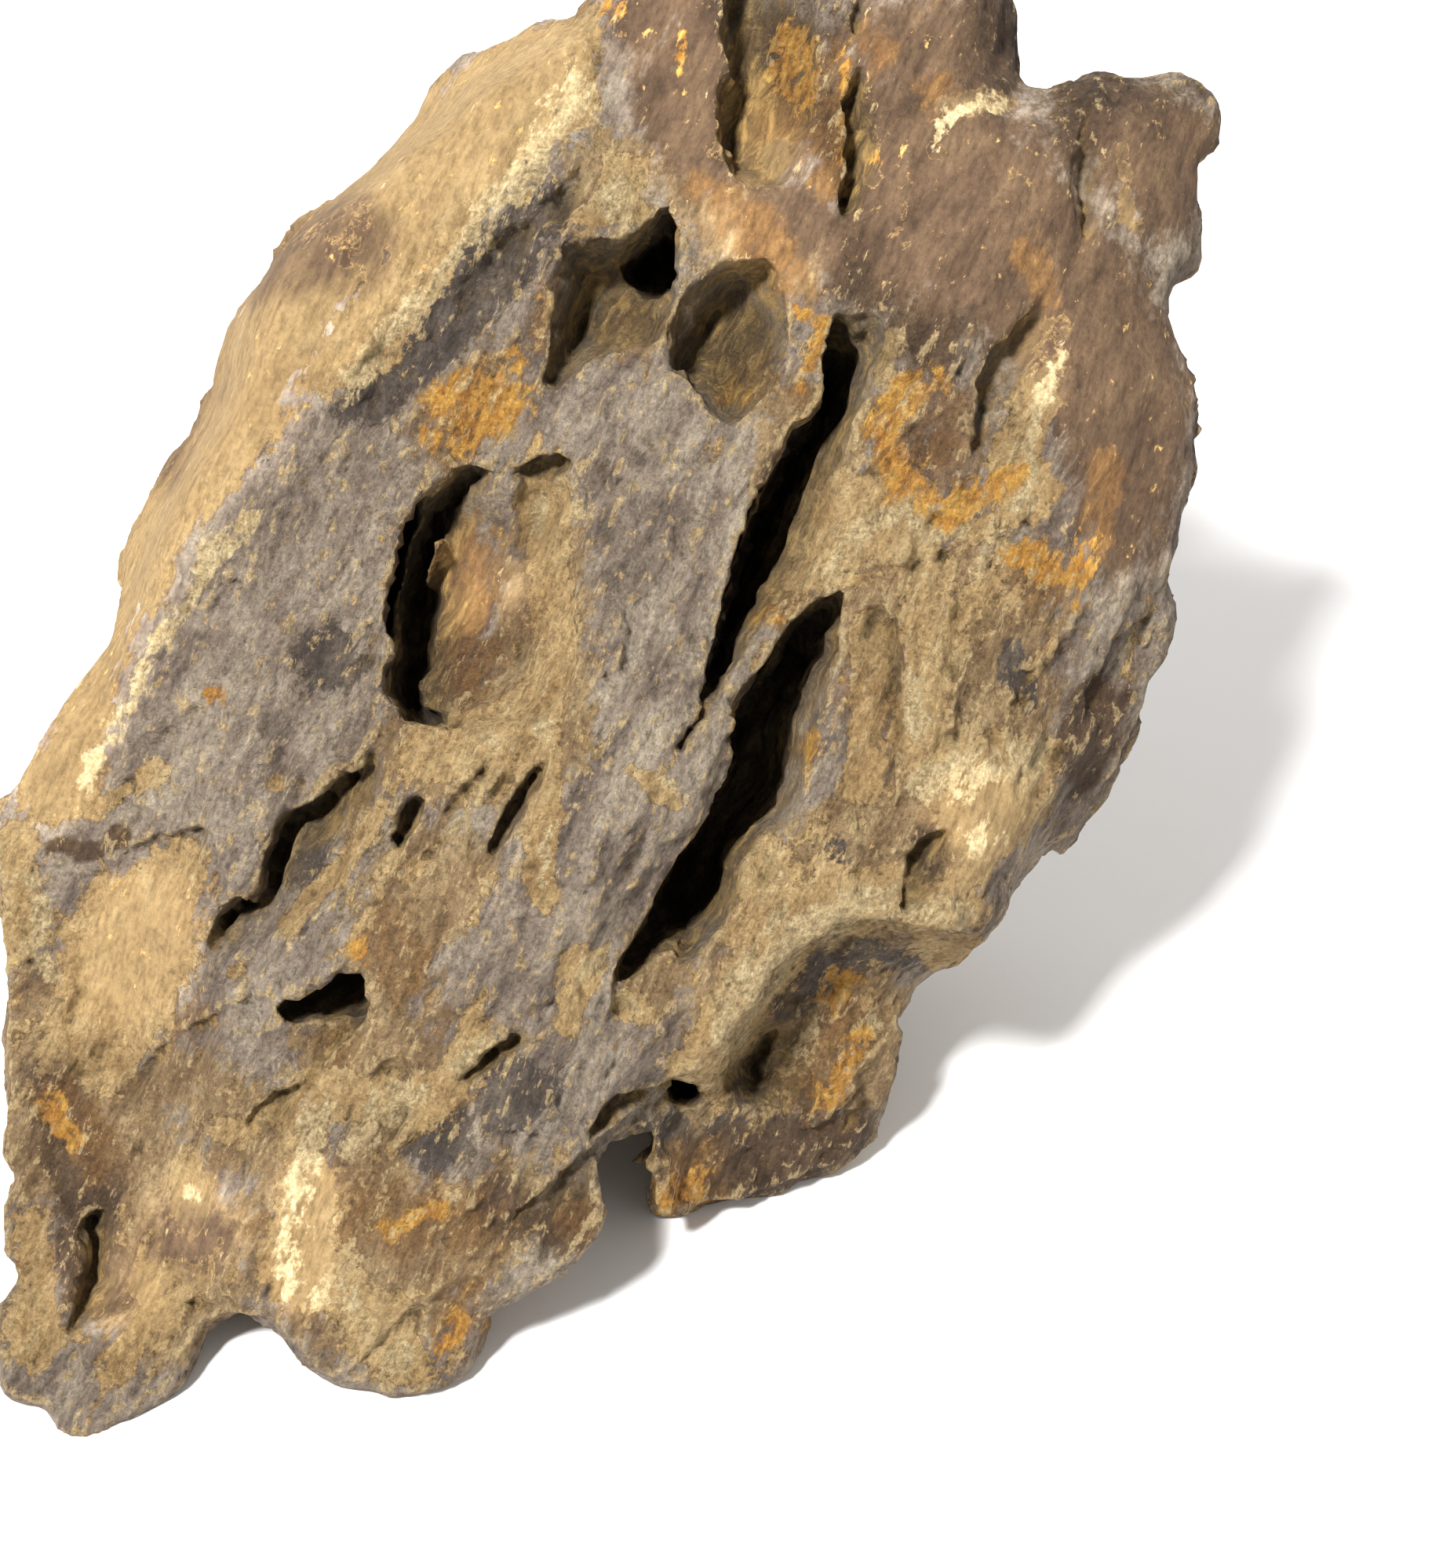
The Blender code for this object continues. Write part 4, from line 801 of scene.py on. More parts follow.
def face_skin(skin):
    """The stone's front and back heights over the face's plane, and the front without its hollows."""
    us = np.arange(GRID_LOW[0], GRID_HIGH[0], GRID_STEP * COARSE)
    vs = np.arange(GRID_LOW[1], GRID_HIGH[1], GRID_STEP * COARSE)
    front, back = np.full((len(us), len(vs)), np.nan), np.full((len(us), len(vs)), np.nan)
    for i, u in enumerate(us):
        for j, v in enumerate(vs):
            front[i, j] = struck(skin, u, v, AHEAD)
            if not np.isnan(front[i, j]):
                back[i, j] = struck(skin, u, v, BEHIND)
    there = ~np.isnan(front)
    front, back = filled_out(front), filled_out(back)
    cells = round(CLOSING_REACH / (GRID_STEP * COARSE))
    closed = extreme_grid(extreme_grid(front, cells, np.max), cells, np.min)
    closed = spread_grid(closed, 2)
    level = np.where(closed - front > HOLLOW_LEAST, closed, front)
    level = spread_grid(level, 1)
    inner = eased(spread_grid(there.astype(float), 1, 2), 0.7, 1.0)
    return us, vs, front, back, level, inner


def block_between(us, vs, top, bottom):
    """A closed mesh between two height grids, where the top is above the bottom."""
    solid = top > bottom
    solid = solid[:-1, :-1] & solid[1:, :-1] & solid[:-1, 1:] & solid[1:, 1:]
    u, v = (axis.ravel() for axis in np.meshgrid(us, vs, indexing="ij"))
    vertices = np.vstack([to_world(np.column_stack([u, v, top.ravel()])),
                          to_world(np.column_stack([u, v, bottom.ravel()]))])
    under = top.size
    number = np.arange(under).reshape(top.shape)
    corners = np.stack([number[:-1, :-1], number[1:, :-1], number[1:, 1:], number[:-1, 1:]], axis=-1)
    faces = [corners[solid], corners[solid][:, ::-1] + under]
    padded = np.pad(solid, 1)
    for i, j, a, b in ((-1, 0, 3, 0), (1, 0, 1, 2), (0, -1, 0, 1), (0, 1, 2, 3)):
        rim = corners[solid & ~shifted(padded, i, j)]
        faces.append(np.column_stack([rim[:, b], rim[:, a], rim[:, a] + under, rim[:, b] + under]))
    return vertices, np.vstack(faces).tolist()


def mesh_object(name, vertices, faces):
    """An object in metres from a mesh in millimetres."""
    mesh = bpy.data.meshes.new(name)
    mesh.from_pydata((np.asarray(vertices) * MM).tolist(), [], faces)
    obj = bpy.data.objects.new(name, mesh)
    bpy.context.scene.collection.objects.link(obj)
    return obj


def joined_object(name, meshes):
    """One object from several meshes."""
    vertices, faces = [], []
    for more_vertices, more_faces in meshes:
        faces += [tuple(i + len(vertices) for i in face) for face in more_faces]
        vertices += list(more_vertices)
    return mesh_object(name, vertices, faces)


def joined_rings(rings):
    """A closed tube through rings of points, with flat ends."""
    size = len(rings[0])
    vertices = [point for ring in rings for point in ring]
    faces = []
    for level in range(len(rings) - 1):
        for i in range(size):
            j = (i + 1) % size
            low, high = level * size, (level + 1) * size
            faces.append((low + i, low + j, high + j, high + i))
    faces.append(tuple(reversed(range(size))))
    faces.append(tuple(range(len(vertices) - size, len(vertices))))
    return vertices, faces


def undercut_mesh(line, lean, start, skin):
    """A leaning cutter that widens a hollow below its rim."""
    line = curve(line, UNDERCUT_STEP)
    along = np.gradient(line[:, :2], axis=0)
    along /= np.linalg.norm(along, axis=1)[:, None]
    starts = stations(line)[1]
    from_end = np.minimum(starts, starts[-1] - starts) + 0.2
    taper = np.sqrt(1 - (1 - np.clip(from_end / UNDERCUT_TAPER, 0, 1)) ** 2)
    rings = []
    for (u, v, half, depth), (du, dv), size in zip(line, along, taper):
        level = struck(skin, u, v, AHEAD)
        ring = []
        for i in range(SECTION_POINTS):
            angle = 2 * math.pi * i / SECTION_POINTS
            reach = half * size * math.cos(angle)
            down = start + depth * size * (0.5 + 0.5 * math.sin(angle))
            place = (u + dv * reach + lean[0] * down, v - du * reach + lean[1] * down, level - down)
            ring.append(to_world(place))
        rings.append(ring)
    return joined_rings(rings)


def turned_out(obj):
    """Turns an object's faces to point out of it."""
    shape = bmesh.new()
    shape.from_mesh(obj.data)
    bmesh.ops.triangulate(shape, faces=[face for face in shape.faces if len(face.verts) > 4])
    bmesh.ops.recalc_face_normals(shape, faces=shape.faces)
    shape.to_mesh(obj.data)
    shape.free()


def bake(obj):
    """Replaces an object's mesh by what its modifiers make of it."""
    graph = bpy.context.evaluated_depsgraph_get()
    made = bpy.data.meshes.new_from_object(obj.evaluated_get(graph))
    old = obj.data
    obj.modifiers.clear()
    obj.data = made
    bpy.data.meshes.remove(old)


def remesh(obj, voxel):
    modifier = obj.modifiers.new("skin", "REMESH")
    modifier.mode = "VOXEL"
    modifier.voxel_size = voxel * MM
    bake(obj)


def cut(obj, cutter):
    modifier = obj.modifiers.new("cut", "BOOLEAN")
    modifier.operation = "DIFFERENCE"
    modifier.solver = "MANIFOLD"
    modifier.object = cutter
    bake(obj)
    bpy.data.objects.remove(cutter)


def numbers_of(items, name, width, kind):
    """One row of numbers for each of a mesh's vertices or edges."""
    flat = np.empty(len(items) * width, kind)
    items.foreach_get(name, flat)
    return flat.reshape(-1, width)


def points_of(obj):
    """The mesh's vertices in millimetres."""
    return numbers_of(obj.data.vertices, "co", 3, np.float32).astype(float) / MM


def normals_of(obj):
    return numbers_of(obj.data.vertex_normals, "vector", 3, np.float32).astype(float)


def edges_of(obj):
    return numbers_of(obj.data.edges, "vertices", 2, np.int32)


def move_points(obj, points):
    obj.data.vertices.foreach_set("co", (points * MM).astype(np.float32).ravel())
    obj.data.update()


def smooth_shaded(obj, material):
    """Gives an object its one material and smooth shading."""
    obj.data.materials.clear()
    obj.data.materials.append(material)
    obj.data.polygons.foreach_set("use_smooth", [True] * len(obj.data.polygons))


def spread(values, edges, rounds, share=0.6):
    """Values at the vertices averaged with their neighbours' over and over."""
    values = np.array(values, float)
    flat = values.reshape(len(values), -1)
    count = np.maximum(np.bincount(edges.ravel(), minlength=len(flat)), 1).astype(float)
    for _ in range(rounds):
        total = [np.bincount(edges[:, 0], column[edges[:, 1]], len(flat))
                 + np.bincount(edges[:, 1], column[edges[:, 0]], len(flat)) for column in flat.T]
        flat = flat + share * (np.column_stack(total) / count[:, None] - flat)
    return flat.reshape(values.shape)


def polygons_of(obj):
    return [tuple(face.vertices) for face in obj.data.polygons]


def skin_of(obj):
    """The object's surface, for rays."""
    return BVHTree.FromPolygons([vertex.co for vertex in obj.data.vertices], polygons_of(obj))


def bareness(uvw, pixels):
    """How much of the dark outer skin is gone, so that the sandy layer shows: above 0 it is gone."""
    field = patch(pixels, "sand") - 0.3 * patch(pixels, "plate")
    field += 0.18 * patch(pixels, "warm") - 0.25 * patch(pixels, "brown")
    return 1.3 * (field - 0.45) + 0.75 * layers(along_grain(uvw), 9, 5, 201, 0.72)


def flake_height(uvw, bare):
    """Ledges and flakes of the layered skin, in millimetres, lower where the skin is gone."""
    warped = along_grain(uvw) + 1.3 * np.column_stack([noise(uvw, 4.5, seed) for seed in (31, 32, 33)])
    height = -0.8 * eased(bare, -0.02, 0.05)
    for size, drop, level, seed in FLAKES:
        field = layers(warped, size, 3, seed)
        height += drop * (eased(field, level, level + 0.03) - 0.4) + 0.25 * drop * field
    return height + 1.0 * layers(uvw, 19, 2, 61)


def rib_heights(pixels, shaken, depth):
    """Each ribbed wall's places, and how high its ribs stand there."""
    for outline, (across, down), high in RIBS:
        ring = np.array(outline, float)
        chosen = near_box(shaken, ring, 30)
        chosen = chosen[inside(shaken[chosen], ring)]
        rim = line_gap(shaken[chosen], np.vstack([ring, ring[:1]]))[0]
        x, y = pixels[chosen].T
        size = math.hypot(across, down)
        place = np.column_stack([(x * down - y * across) / size,
                                 (x * across + y * down) / size / RIB_STRETCH, depth[chosen]])
        yield chosen, high * layers(place, 17, 3, 301, 0.6) * eased(rim, 0, RIB_FADE)


def face_heights(us, vs, front, level, inner):
    """The face's fine heights: the level skin with its hollows, ledges, cracks, ridges and flakes."""
    u, v = (axis.ravel() for axis in np.meshgrid(us, vs, indexing="ij"))
    uvw = np.column_stack([u, v, level.ravel()])
    pixels = to_photo(uvw)
    shaken = pixels + np.column_stack([
        sum(reach * noise(uvw, size, seed + i) for i, (reach, size) in enumerate(FORM_SHAKE))
        for seed in (11, 15)])
    depth = np.zeros(len(uvw))
    for form in HOLLOWS.values():
        depth = np.maximum(depth, hollow_depth(shaken, *form))
    for line, drop, reach in LEDGES.values():
        depth += ledge_depth(shaken, line, drop, reach)
    for line, half, deep in CRACKS:
        depth += band(shaken, line, half, deep)
    for line, half, high in RIDGES:
        depth -= band(shaken, line, half, high)
    for chosen, ribs in rib_heights(pixels, shaken, depth):
        depth[chosen] -= ribs
    flakes = flake_height(uvw, bareness(uvw, pixels))
    rough = (1 - 0.5 * eased(depth, 2, 10)) * (1 - 0.7 * patch(pixels, "calm"))
    height = np.minimum(level.ravel() - depth + flakes * rough, level.ravel() + RAISE)
    front = front.ravel()
    height = front + RIM_GAP + (height - front - RIM_GAP) * inner.ravel()
    return height.reshape(level.shape)


def stone_shape():
    """The CAD stone's form at a fine grain, with its face made again."""
    stone = bpy.data.objects.new("solid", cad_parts["dragon_stone"].data.copy())
    bpy.context.scene.collection.objects.link(stone)
    us, vs, front, back, level, inner = face_skin(skin_of(stone))

    bottom = np.maximum(level - SLAB_DEPTH, back + SLAB_LEAST)
    top = np.where(inner > 0.5, level + RAISE, bottom)
    top = np.where(top - bottom > SLAB_LEAST, top, bottom - 1)
    slab = block_between(us, vs, top, bottom)
    solid, stone = stone, joined_object("stone", [(points_of(stone), polygons_of(stone)), slab])
    bpy.data.objects.remove(solid)
    remesh(stone, SKIN_VOXEL)
    move_points(stone, spread(points_of(stone), edges_of(stone), 4))

    us, vs = finer_places(us), finer_places(vs)
    heights = face_heights(us, vs, finer(front), finer(level), finer(inner))
    above = mesh_object("above", *block_between(us, vs, np.full_like(heights, BLOCK_TOP), heights))
    skin = skin_of(stone)
    cut(stone, above)
    under = joined_object("under", [undercut_mesh(*form, skin) for form in UNDERCUTS])
    turned_out(under)
    remesh(under, SKIN_VOXEL)
    points = points_of(under)
    swell = 0.8 * noise(points, 5, 21) + 0.4 * noise(points, 2, 22)
    move_points(under, points + normals_of(under) * swell[:, None])
    cut(stone, under)
    remesh(stone, FINE_VOXEL)
    return stone


def add_relief(stone):
    """Raises flakes and grain on the sides and back, and fine grain everywhere."""
    points = points_of(stone)
    normals = spread(normals_of(stone), edges_of(stone), 4)
    normals /= np.linalg.norm(normals, axis=1)[:, None]
    uvw = to_face(points)
    grain = along_grain(uvw)
    away = 1 - eased(normals @ AXES[2], 0.1, 0.45)
    relief = away * 0.6 * flake_height(uvw, layers(grain, 15, 4, 101) + 0.1)
    fine = 0.4 * layers(grain, 3.4, 2, 81) + 0.32 * layers(points, 1.8, 2, 91)
    relief += fine * (1 - 0.7 * np.maximum(0.6 * away, patch(to_photo(uvw), "calm")))
    foot = eased(points[:, 2], FOOT_LOW, FOOT_HIGH)
    points = points + normals * (relief * foot)[:, None]
    points[:, 2] = np.maximum(points[:, 2], 0)
    move_points(stone, points)


def facing_share(points, normals):
    """1 where the stone faces the way that the broad face does, and 0 on its sides and back."""
    return eased(normals @ AXES[2] + 0.15 * noise(points, 8, 3), -0.1, 0.2)


def store(obj, name, values):
    attribute = obj.data.attributes.new(name, "FLOAT", "POINT")
    attribute.data.foreach_set("value", values.astype(np.float32))


def store_sharpness(stone):
    """Stores how far each vertex stands out of the stone round it, while the mesh is still fine."""
    points, edges, normals = points_of(stone), edges_of(stone), normals_of(stone)
    facing = facing_share(points, normals)
    sharp = ((points - spread(points, edges, 8)) * normals).sum(axis=1) * (1 - 0.75 * (1 - facing))
    store(stone, "sharp", spread(sharp, edges, 1))


def thinned(stone, target, group=""):
    modifier = stone.modifiers.new("fewer", "DECIMATE")
    modifier.ratio = target / len(stone.data.polygons)
    modifier.vertex_group = group
    bake(stone)


def thin_out(stone):
    """Fewer triangles: first on the sides and back, then all over.

    Millimetres are used for it, because in metres the thinning takes the small forms for flat ground.
    """
    stone.modifiers.new("triangles", "TRIANGULATE")
    bake(stone)
    stone.data.transform(Matrix.Scale(1 / MM, 4))
    plain = np.nonzero(normals_of(stone) @ AXES[2] < PLAIN_FACING)[0]
    kept = len(stone.data.polygons) * (1 - len(plain) / len(stone.data.vertices))
    stone.vertex_groups.new(name="plain").add(plain.tolist(), 1.0, "REPLACE")
    thinned(stone, kept + PLAIN_TRIANGLES, "plain")
    stone.vertex_groups.clear()
    thinned(stone, TRIANGLES)
    stone.data.transform(Matrix.Scale(MM, 4))


def main_body(stone):
    """Drops loose crumbs of mesh, and lifts what the thinning pushed under the ground."""
    edges = edges_of(stone)
    label = np.arange(len(stone.data.vertices))
    while True:
        lowest = label.copy()
        for side in (0, 1):
            np.minimum.at(lowest, edges[:, side], label[edges].min(axis=1))
        lowest = lowest[lowest]
        if (lowest == label).all():
            break
        label = lowest
    main = np.bincount(label).argmax()
    shape = bmesh.new()
    shape.from_mesh(stone.data)
    shape.verts.ensure_lookup_table()
    bmesh.ops.delete(shape, geom=[shape.verts[i] for i in np.nonzero(label != main)[0]], context="VERTS")
    shape.to_mesh(stone.data)
    shape.free()
    points = points_of(stone)
    points[:, 2] = np.maximum(points[:, 2], 0)
    move_points(stone, points)


def closed_in(stone):
    """How much of its sky each vertex loses to the stone round it, from 0 to 1."""
    skin = skin_of(stone)
    golden = math.pi * (3 - math.sqrt(5))
    rays = []
    for i in range(SKY_RAYS):
        height = 1 - (i + 0.5) / SKY_RAYS * 0.9
        ring = math.sqrt(1 - height * height)
        rays.append(Vector((ring * math.cos(golden * i), ring * math.sin(golden * i), height)))
    lost = np.zeros(len(stone.data.vertices))
    up = Vector((0, 0, 1))
    for i, vertex in enumerate(stone.data.vertices):
        turn = up.rotation_difference(vertex.normal).to_matrix()
        start = vertex.co + vertex.normal * (SKY_START * MM)
        hits = sum(skin.ray_cast(start, turn @ ray, SKY_REACH * MM)[0] is not None for ray in rays)
        lost[i] = hits / SKY_RAYS
    return lost


def paint(stone):
    """Stores, at each vertex, how much of each colour the stone has there, and how calm and hollow it is."""
    points = points_of(stone)
    uvw = to_face(points)
    pixels = to_photo(uvw)
    facing = facing_share(points, normals_of(stone))
    grain = along_grain(uvw)
    elsewhere = 1 - facing
    shaken = pixels + np.column_stack([
        COLOUR_SHAKE * layers(grain, 6, 3, seed, 0.6) for seed in (141, 151)])
    store(stone, "sand",
          facing * (bareness(uvw, pixels) + 0.5) + elsewhere * (layers(grain, 22, 4, 101, 0.6) + 0.5))
    for name, (along, size, count, seed, gain, low, high) in UNSEEN.items():
        seen = patch(shaken, name)
        if name == "warm":
            seen = seen - 0.6 * patch(shaken, "plate")
        unseen = eased(layers(grain if along else points, size, count, seed, gain), low, high)
        store(stone, name, facing * seen + elsewhere * unseen)
    store(stone, "calm", np.maximum(0.5 * elsewhere, patch(pixels, "calm")))
    # The hollow share drives the painted shade in the material: closed-in places are drawn darker.
    store(stone, "hollow", spread(closed_in(stone), edges_of(stone), 2))


class Nodes:
    """Adds nodes to a material, and links them."""

    def __init__(self, tree):
        self.tree = tree

    def put(self, socket, value):
        if isinstance(value, bpy.types.NodeSocket):
            self.tree.links.new(value, socket)
        else:
            socket.default_value = value

    def new(self, kind, inputs=None, **settings):
        node = self.tree.nodes.new(kind)
        for name, value in settings.items():
            setattr(node, name, value)
        for name, value in (inputs or {}).items():
            self.put(node.inputs[name], value)
        return node

    def attribute(self, name):
        return self.new("ShaderNodeAttribute", attribute_name=name).outputs["Fac"]

    def math(self, operation, a, b=0.0, c=0.0):
        return self.new("ShaderNodeMath", {0: a, 1: b, 2: c}, operation=operation).outputs[0]

    def times(self, a, b):
        return self.math("MULTIPLY", a, b)

    def line(self, value, slope, start):
        """A value times a slope, plus a start."""
        return self.math("MULTIPLY_ADD", value, slope, start)

    def steps(self, value, count):
        """A smooth value turned into flat steps."""
        return self.math("DIVIDE", self.math("FLOOR", self.times(value, count)), count)

    def contours(self, value, count):
        """0.5 on contour lines of a value, count of them from 0 to 1, and less between them."""
        whole = self.math("FRACT", self.times(value, count))
        return self.math("ABSOLUTE", self.math("SUBTRACT", whole, 0.5))

    def threshold(self, value, low, high):
        return self.new("ShaderNodeMapRange", {"Value": value, "From Min": low, "From Max": high},
                        interpolation_type="SMOOTHSTEP").outputs["Result"]

    def turned(self, place, angle, stretch):
        """Coordinates turned by an angle and stretched along it."""
        return self.new("ShaderNodeMapping", {
            "Vector": place, "Rotation": (0, 0, angle), "Scale": (stretch, 1, 1)},
            vector_type="TEXTURE").outputs[0]

    def texture(self, place, size, detail, roughness, distortion):
        return self.new("ShaderNodeTexNoise", {
            "Vector": place, "Scale": 1 / (size * MM), "Detail": detail, "Roughness": roughness,
            "Distortion": distortion}).outputs["Fac"]

    def ramp(self, value, stops):
        node = self.new("ShaderNodeValToRGB", {"Fac": value})
        elements = node.color_ramp.elements
        while len(elements) < len(stops):
            elements.new(0.5)
        for element, (place, colour) in zip(elements, stops):
            element.position = place
            element.color = linear(*colour)
        return node.outputs["Color"]

    def mix(self, share, a, b, blend="MIX"):
        node = self.new("ShaderNodeMix", data_type="RGBA", blend_type=blend)
        for number, value in ((0, share), (6, a), (7, b)):
            self.put(node.inputs[number], value)
        return node.outputs[2]

    def broken(self, name, weights, low, high):
        """A share of 0 to 1 from an attribute whose border the textures break up."""
        value = self.attribute(name)
        for noisy, weight in weights:
            value = self.math("ADD", value, self.line(noisy, weight, -weight / 2))
        return self.threshold(value, low, high)


def surface_colour(nodes, noises, colours):
    """The stone's colour: each layer laid over the last where its patches and textures say, with painted
    shade in creases and hollows.
    """
    broad, mottle, flake = noises["broad"], noises["mottle"], noises["flake"]
    small, fleck = noises["small"], noises["fleck"]
    sharp, hollow, calm = (nodes.attribute(name) for name in ("sharp", "hollow", "calm"))
    sandy = [(flake, 2.0), (mottle, 1.9), (small, 0.5)]

    colour = nodes.mix(nodes.broken("warm", [(broad, 1.2), (flake, 2.2), (mottle, 1.4)], 0.25, 0.6),
                       colours["plate"], colours["warm"])
    colour = nodes.mix(nodes.broken("slate", [(flake, 2.6), (mottle, 1.2)], 0.3, 0.6),
                       colour, colours["slate"])
    colour = nodes.mix(nodes.broken("brown", [(broad, 1.4), (flake, 1.4), (mottle, 1.0)], 0.15, 0.75),
                       colour, colours["brown"])
    stained = nodes.broken("tawny", [(broad, 1.0), (flake, 2.0), (mottle, 1.4)], 0.3, 1.0)
    colour = nodes.mix(nodes.times(stained, 0.7), colour, colours["tawny"])
    colour = nodes.mix(nodes.broken("sand", sandy, 0.34, 0.44), colour, colours["film"])
    even = nodes.mix(broad, linear(*SAND_DARK), linear(*SAND_LIGHT))
    even = nodes.mix(nodes.times(calm, 0.85), colours["sand"], even)
    even = nodes.mix(nodes.broken("brown", [(broad, 1.4), (flake, 0.8)], 0.2, 1.3), even, colours["brown"])
    colour = nodes.mix(nodes.broken("sand", sandy, 0.46, 0.56), colour, even)
    # Cream where the stone is pale, which also paints the highlight on the lit crests.
    colour = nodes.mix(nodes.broken("pale", [(flake, 2.6), (mottle, 3.0), (fleck, 1.2)], 0.5, 0.95),
                       colour, colours["cream"])
    colour = nodes.mix(nodes.broken("rust", [(flake, 2.4), (mottle, 2.6), (fleck, 1.4)], 0.45, 0.85),
                       colour, colours["rust"])

    density = nodes.line(calm, -0.12, nodes.line(mottle, 0.7, nodes.line(sharp, 0.65, -0.35)))
    flecks = nodes.threshold(nodes.math("ADD", fleck, density), 0.6, 0.7)
    colour = nodes.mix(nodes.times(flecks, 0.85), colour,
                       nodes.mix(small, colours["sand"], colours["cream"]))
    edges = nodes.times(nodes.threshold(nodes.contours(noises["middle"], 9.0), 0.42, 0.5),
                        nodes.threshold(mottle, 0.5, 0.62))
    colour = nodes.mix(nodes.times(edges, nodes.line(calm, -0.5, 0.6)), colour, colours["film"])
    cracks = nodes.times(nodes.threshold(nodes.contours(flake, 7.0), 0.455, 0.5),
                         nodes.threshold(broad, 0.42, 0.6))
    colour = nodes.mix(nodes.times(cracks, nodes.line(calm, -0.7, 0.9)), colour, colours["deep"])
    # Concave creases turn olive: partly the olive colour of the hollows, partly painted shade.
    low = nodes.line(sharp, -1.3, nodes.line(small, -0.6, 0.3))
    colour = nodes.mix(nodes.threshold(low, 0.12, 0.7), colour, colours["olive"])
    colour = nodes.mix(0.8, colour, colours["lines"], "MULTIPLY")
    colour = nodes.mix(nodes.line(calm, -0.3, 0.8), colour, colours["grit"], "MULTIPLY")
    # Painted shade: by the hollow share, closed-in places are darkened towards olive, and the most closed-in
    # turn near-black.
    colour = nodes.mix(nodes.threshold(hollow, 0.2, 0.62), colour,
                       nodes.mix(0.75, colour, colours["olive"]))
    return nodes.mix(nodes.threshold(hollow, 0.72, 1.0), colour, colours["deep"])


def surface_bump(nodes, noises):
    """The grain that is finer than the mesh."""
    height = nodes.line(nodes.steps(noises["flake"], 14), 4.5, nodes.times(noises["small"], 1.6))
    height = nodes.line(nodes.steps(noises["mottle"], 12), 3.0, height)
    height = nodes.line(noises["streak"], 0.6, height)
    height = nodes.line(noises["tiny"], 0.3, height)
    strength = nodes.line(nodes.attribute("calm"), -0.6, 1.0)
    return nodes.new("ShaderNodeBump", {
        "Height": height, "Strength": strength, "Distance": BUMP_DISTANCE * MM}).outputs[0]


def stone_material():
    material = bpy.data.materials.new("dragon_stone_surface")
    material.use_nodes = True
    nodes = Nodes(material.node_tree)
    shader = material.node_tree.nodes["Principled BSDF"]
    place = nodes.new("ShaderNodeTexCoord").outputs["Object"]
    upright = nodes.new("ShaderNodeMapping", {
        "Vector": place, "Rotation": (-math.pi / 2 + FACE_LEAN, 0, 0)}, vector_type="POINT").outputs[0]
    spaces = {
        "place": place,
        "grain": nodes.turned(upright, GRAIN_ANGLE, GRAIN_STRETCH),
        "streaky": nodes.turned(upright, STREAK_ANGLE, STREAK_STRETCH),
    }
    noises = {name: nodes.texture(spaces[space], *form) for name, (space, *form) in TEXTURES.items()}
    colours = {name: nodes.ramp(noises[source], stops) for name, (source, stops) in COLOURS.items()}
    nodes.put(shader.inputs["Base Color"], surface_colour(nodes, noises, colours))
    nodes.put(shader.inputs["Normal"], surface_bump(nodes, noises))
    nodes.put(shader.inputs["Roughness"], nodes.line(noises["small"], 0.25, 0.7))
    shader.inputs["Specular IOR Level"].default_value = 0.3
    return material


def studio_material():
    material = bpy.data.materials.new("pale_table")
    material.use_nodes = True
    shader = material.node_tree.nodes["Principled BSDF"]
    shader.inputs["Base Color"].default_value = linear(238, 237, 236)
    shader.inputs["Roughness"].default_value = 0.8
    return material


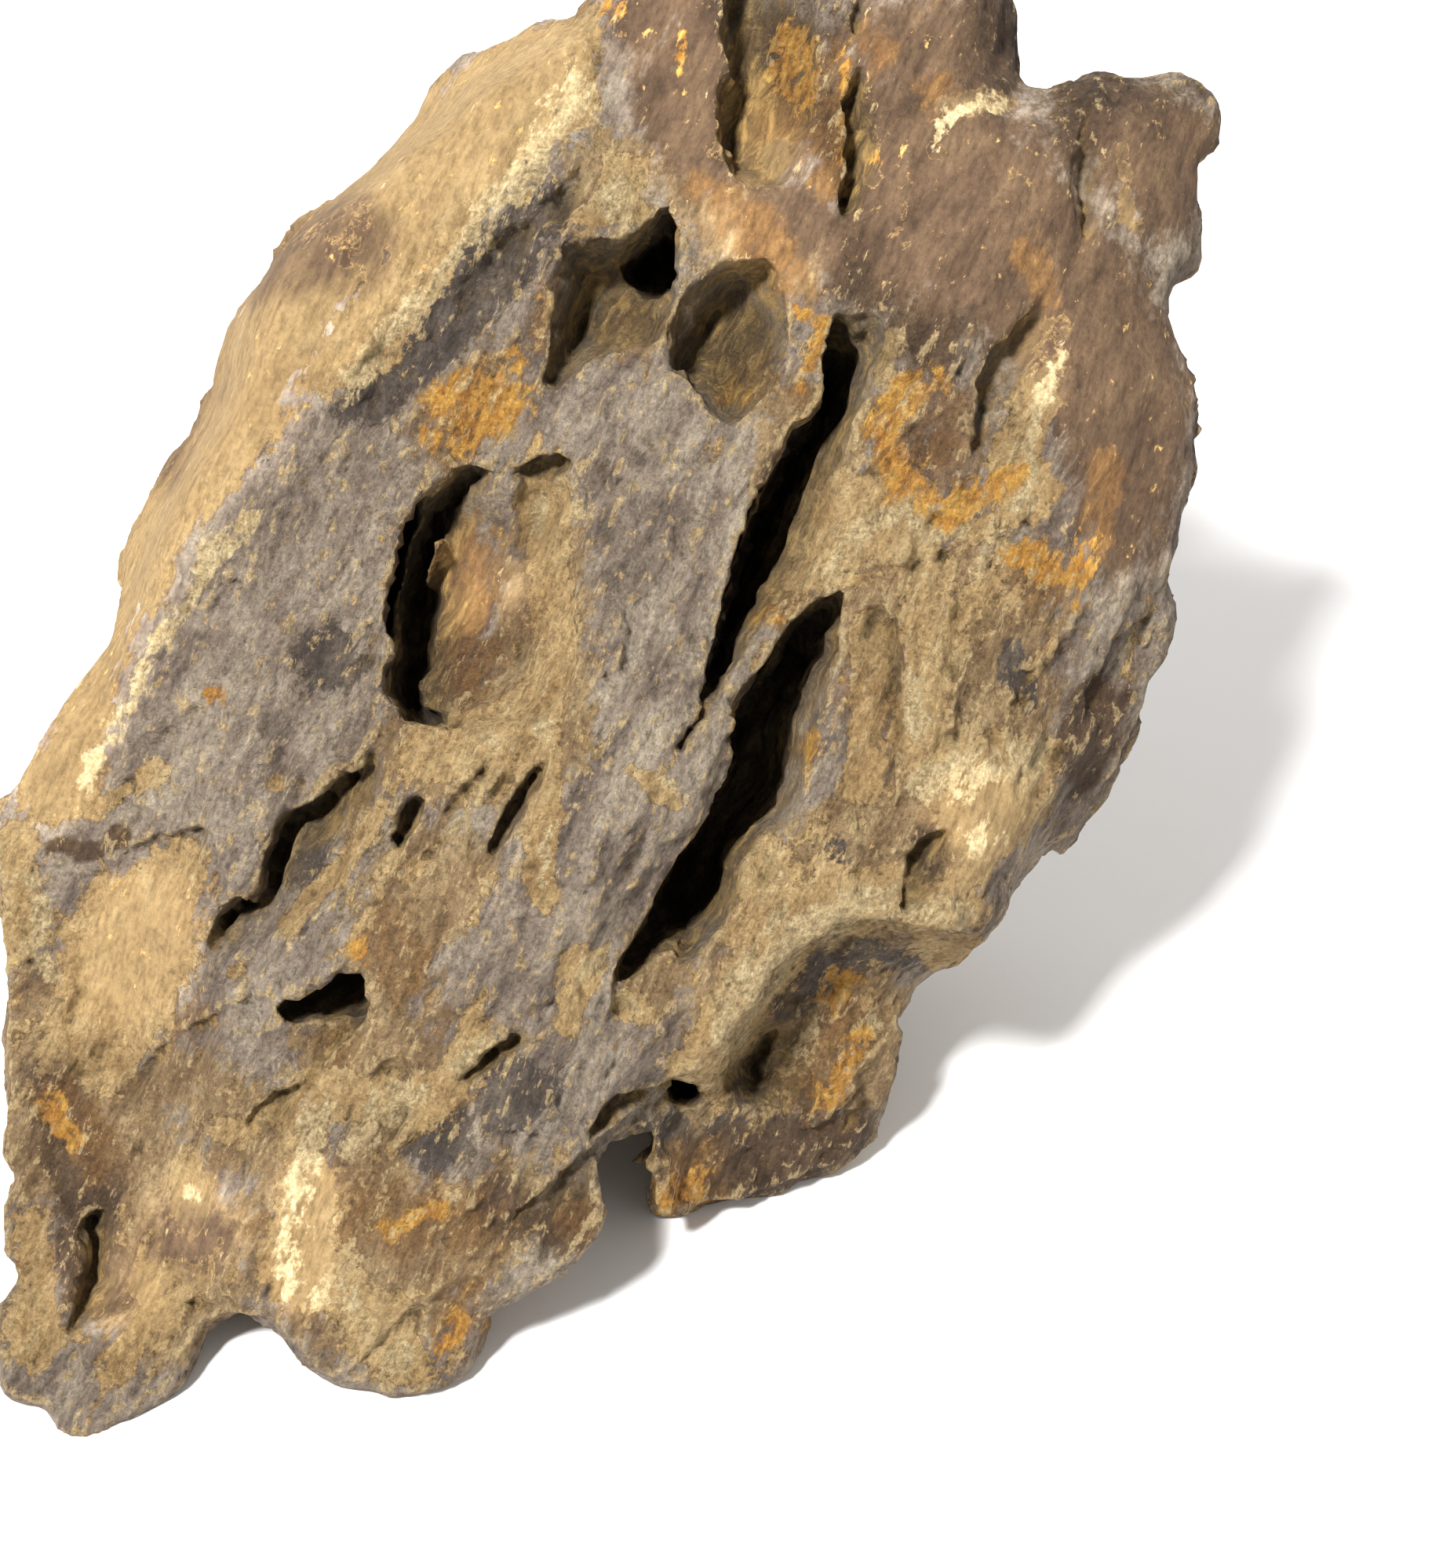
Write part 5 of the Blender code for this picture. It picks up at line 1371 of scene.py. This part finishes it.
def studio():
    """A pale floor that curves up into a plain backdrop, a soft key light and the pale surroundings."""
    start = WALL_BACK - BEND
    profile = [(-FLOOR_REACH, 0.0), (start, 0.0)]
    profile += [(start + BEND * math.sin(a), BEND - BEND * math.cos(a))
                for a in np.linspace(0.1, math.pi / 2, BEND_POINTS)]
    profile.append((WALL_BACK, WALL_HEIGHT))
    vertices = [(x, y, z) for y, z in profile for x in (-FLOOR_REACH, FLOOR_REACH)]
    faces = [(2 * i, 2 * i + 1, 2 * i + 3, 2 * i + 2) for i in range(len(profile) - 1)]
    floor = mesh_object("floor", np.array(vertices) / MM, faces)
    smooth_shaded(floor, studio_material())

    world = bpy.data.worlds.new("studio")
    world.use_nodes = True
    background = world.node_tree.nodes["Background"]
    background.inputs["Color"].default_value = (1, 0.99, 0.97, 1)
    background.inputs["Strength"].default_value = SKY_STRENGTH
    bpy.context.scene.world = world

    for name, (place, power, size) in LAMPS.items():
        data = bpy.data.lights.new(name, "AREA")
        data.energy = power
        data.size = size
        light = bpy.data.objects.new(name, data)
        turned = (Vector(place) - Vector(AIM)).to_track_quat("Z", "Y").to_matrix().to_4x4()
        light.matrix_world = Matrix.Translation(place) @ turned
        bpy.context.scene.collection.objects.link(light)


def camera():
    """The photograph's view: square on to the broad face, from the distance that its perspective shows."""
    data = bpy.data.cameras.new("camera")
    data.sensor_width = SENSOR
    data.lens = CAMERA_LENS
    data.clip_start = 0.01
    obj = bpy.data.objects.new("camera", data)
    turned = Matrix(AXES.T.tolist()).to_4x4()
    obj.matrix_world = Matrix.Translation(to_world((0, 0, CAMERA_DISTANCE)) * MM) @ turned
    bpy.context.scene.collection.objects.link(obj)
    bpy.context.scene.camera = obj


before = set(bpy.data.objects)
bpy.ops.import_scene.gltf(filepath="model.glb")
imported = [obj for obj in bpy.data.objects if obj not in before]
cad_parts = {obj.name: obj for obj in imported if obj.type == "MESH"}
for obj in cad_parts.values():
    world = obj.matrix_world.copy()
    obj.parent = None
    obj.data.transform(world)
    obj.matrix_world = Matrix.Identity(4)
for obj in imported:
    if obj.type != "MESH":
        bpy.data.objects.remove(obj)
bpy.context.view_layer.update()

camera()
studio()
stone = stone_shape()
add_relief(stone)
store_sharpness(stone)
thin_out(stone)
main_body(stone)
paint(stone)
stone.name = "stone_skin"
smooth_shaded(stone, stone_material())
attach(stone, "root")
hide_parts("dragon_stone")
bpy.context.scene.view_settings.view_transform = "Standard"
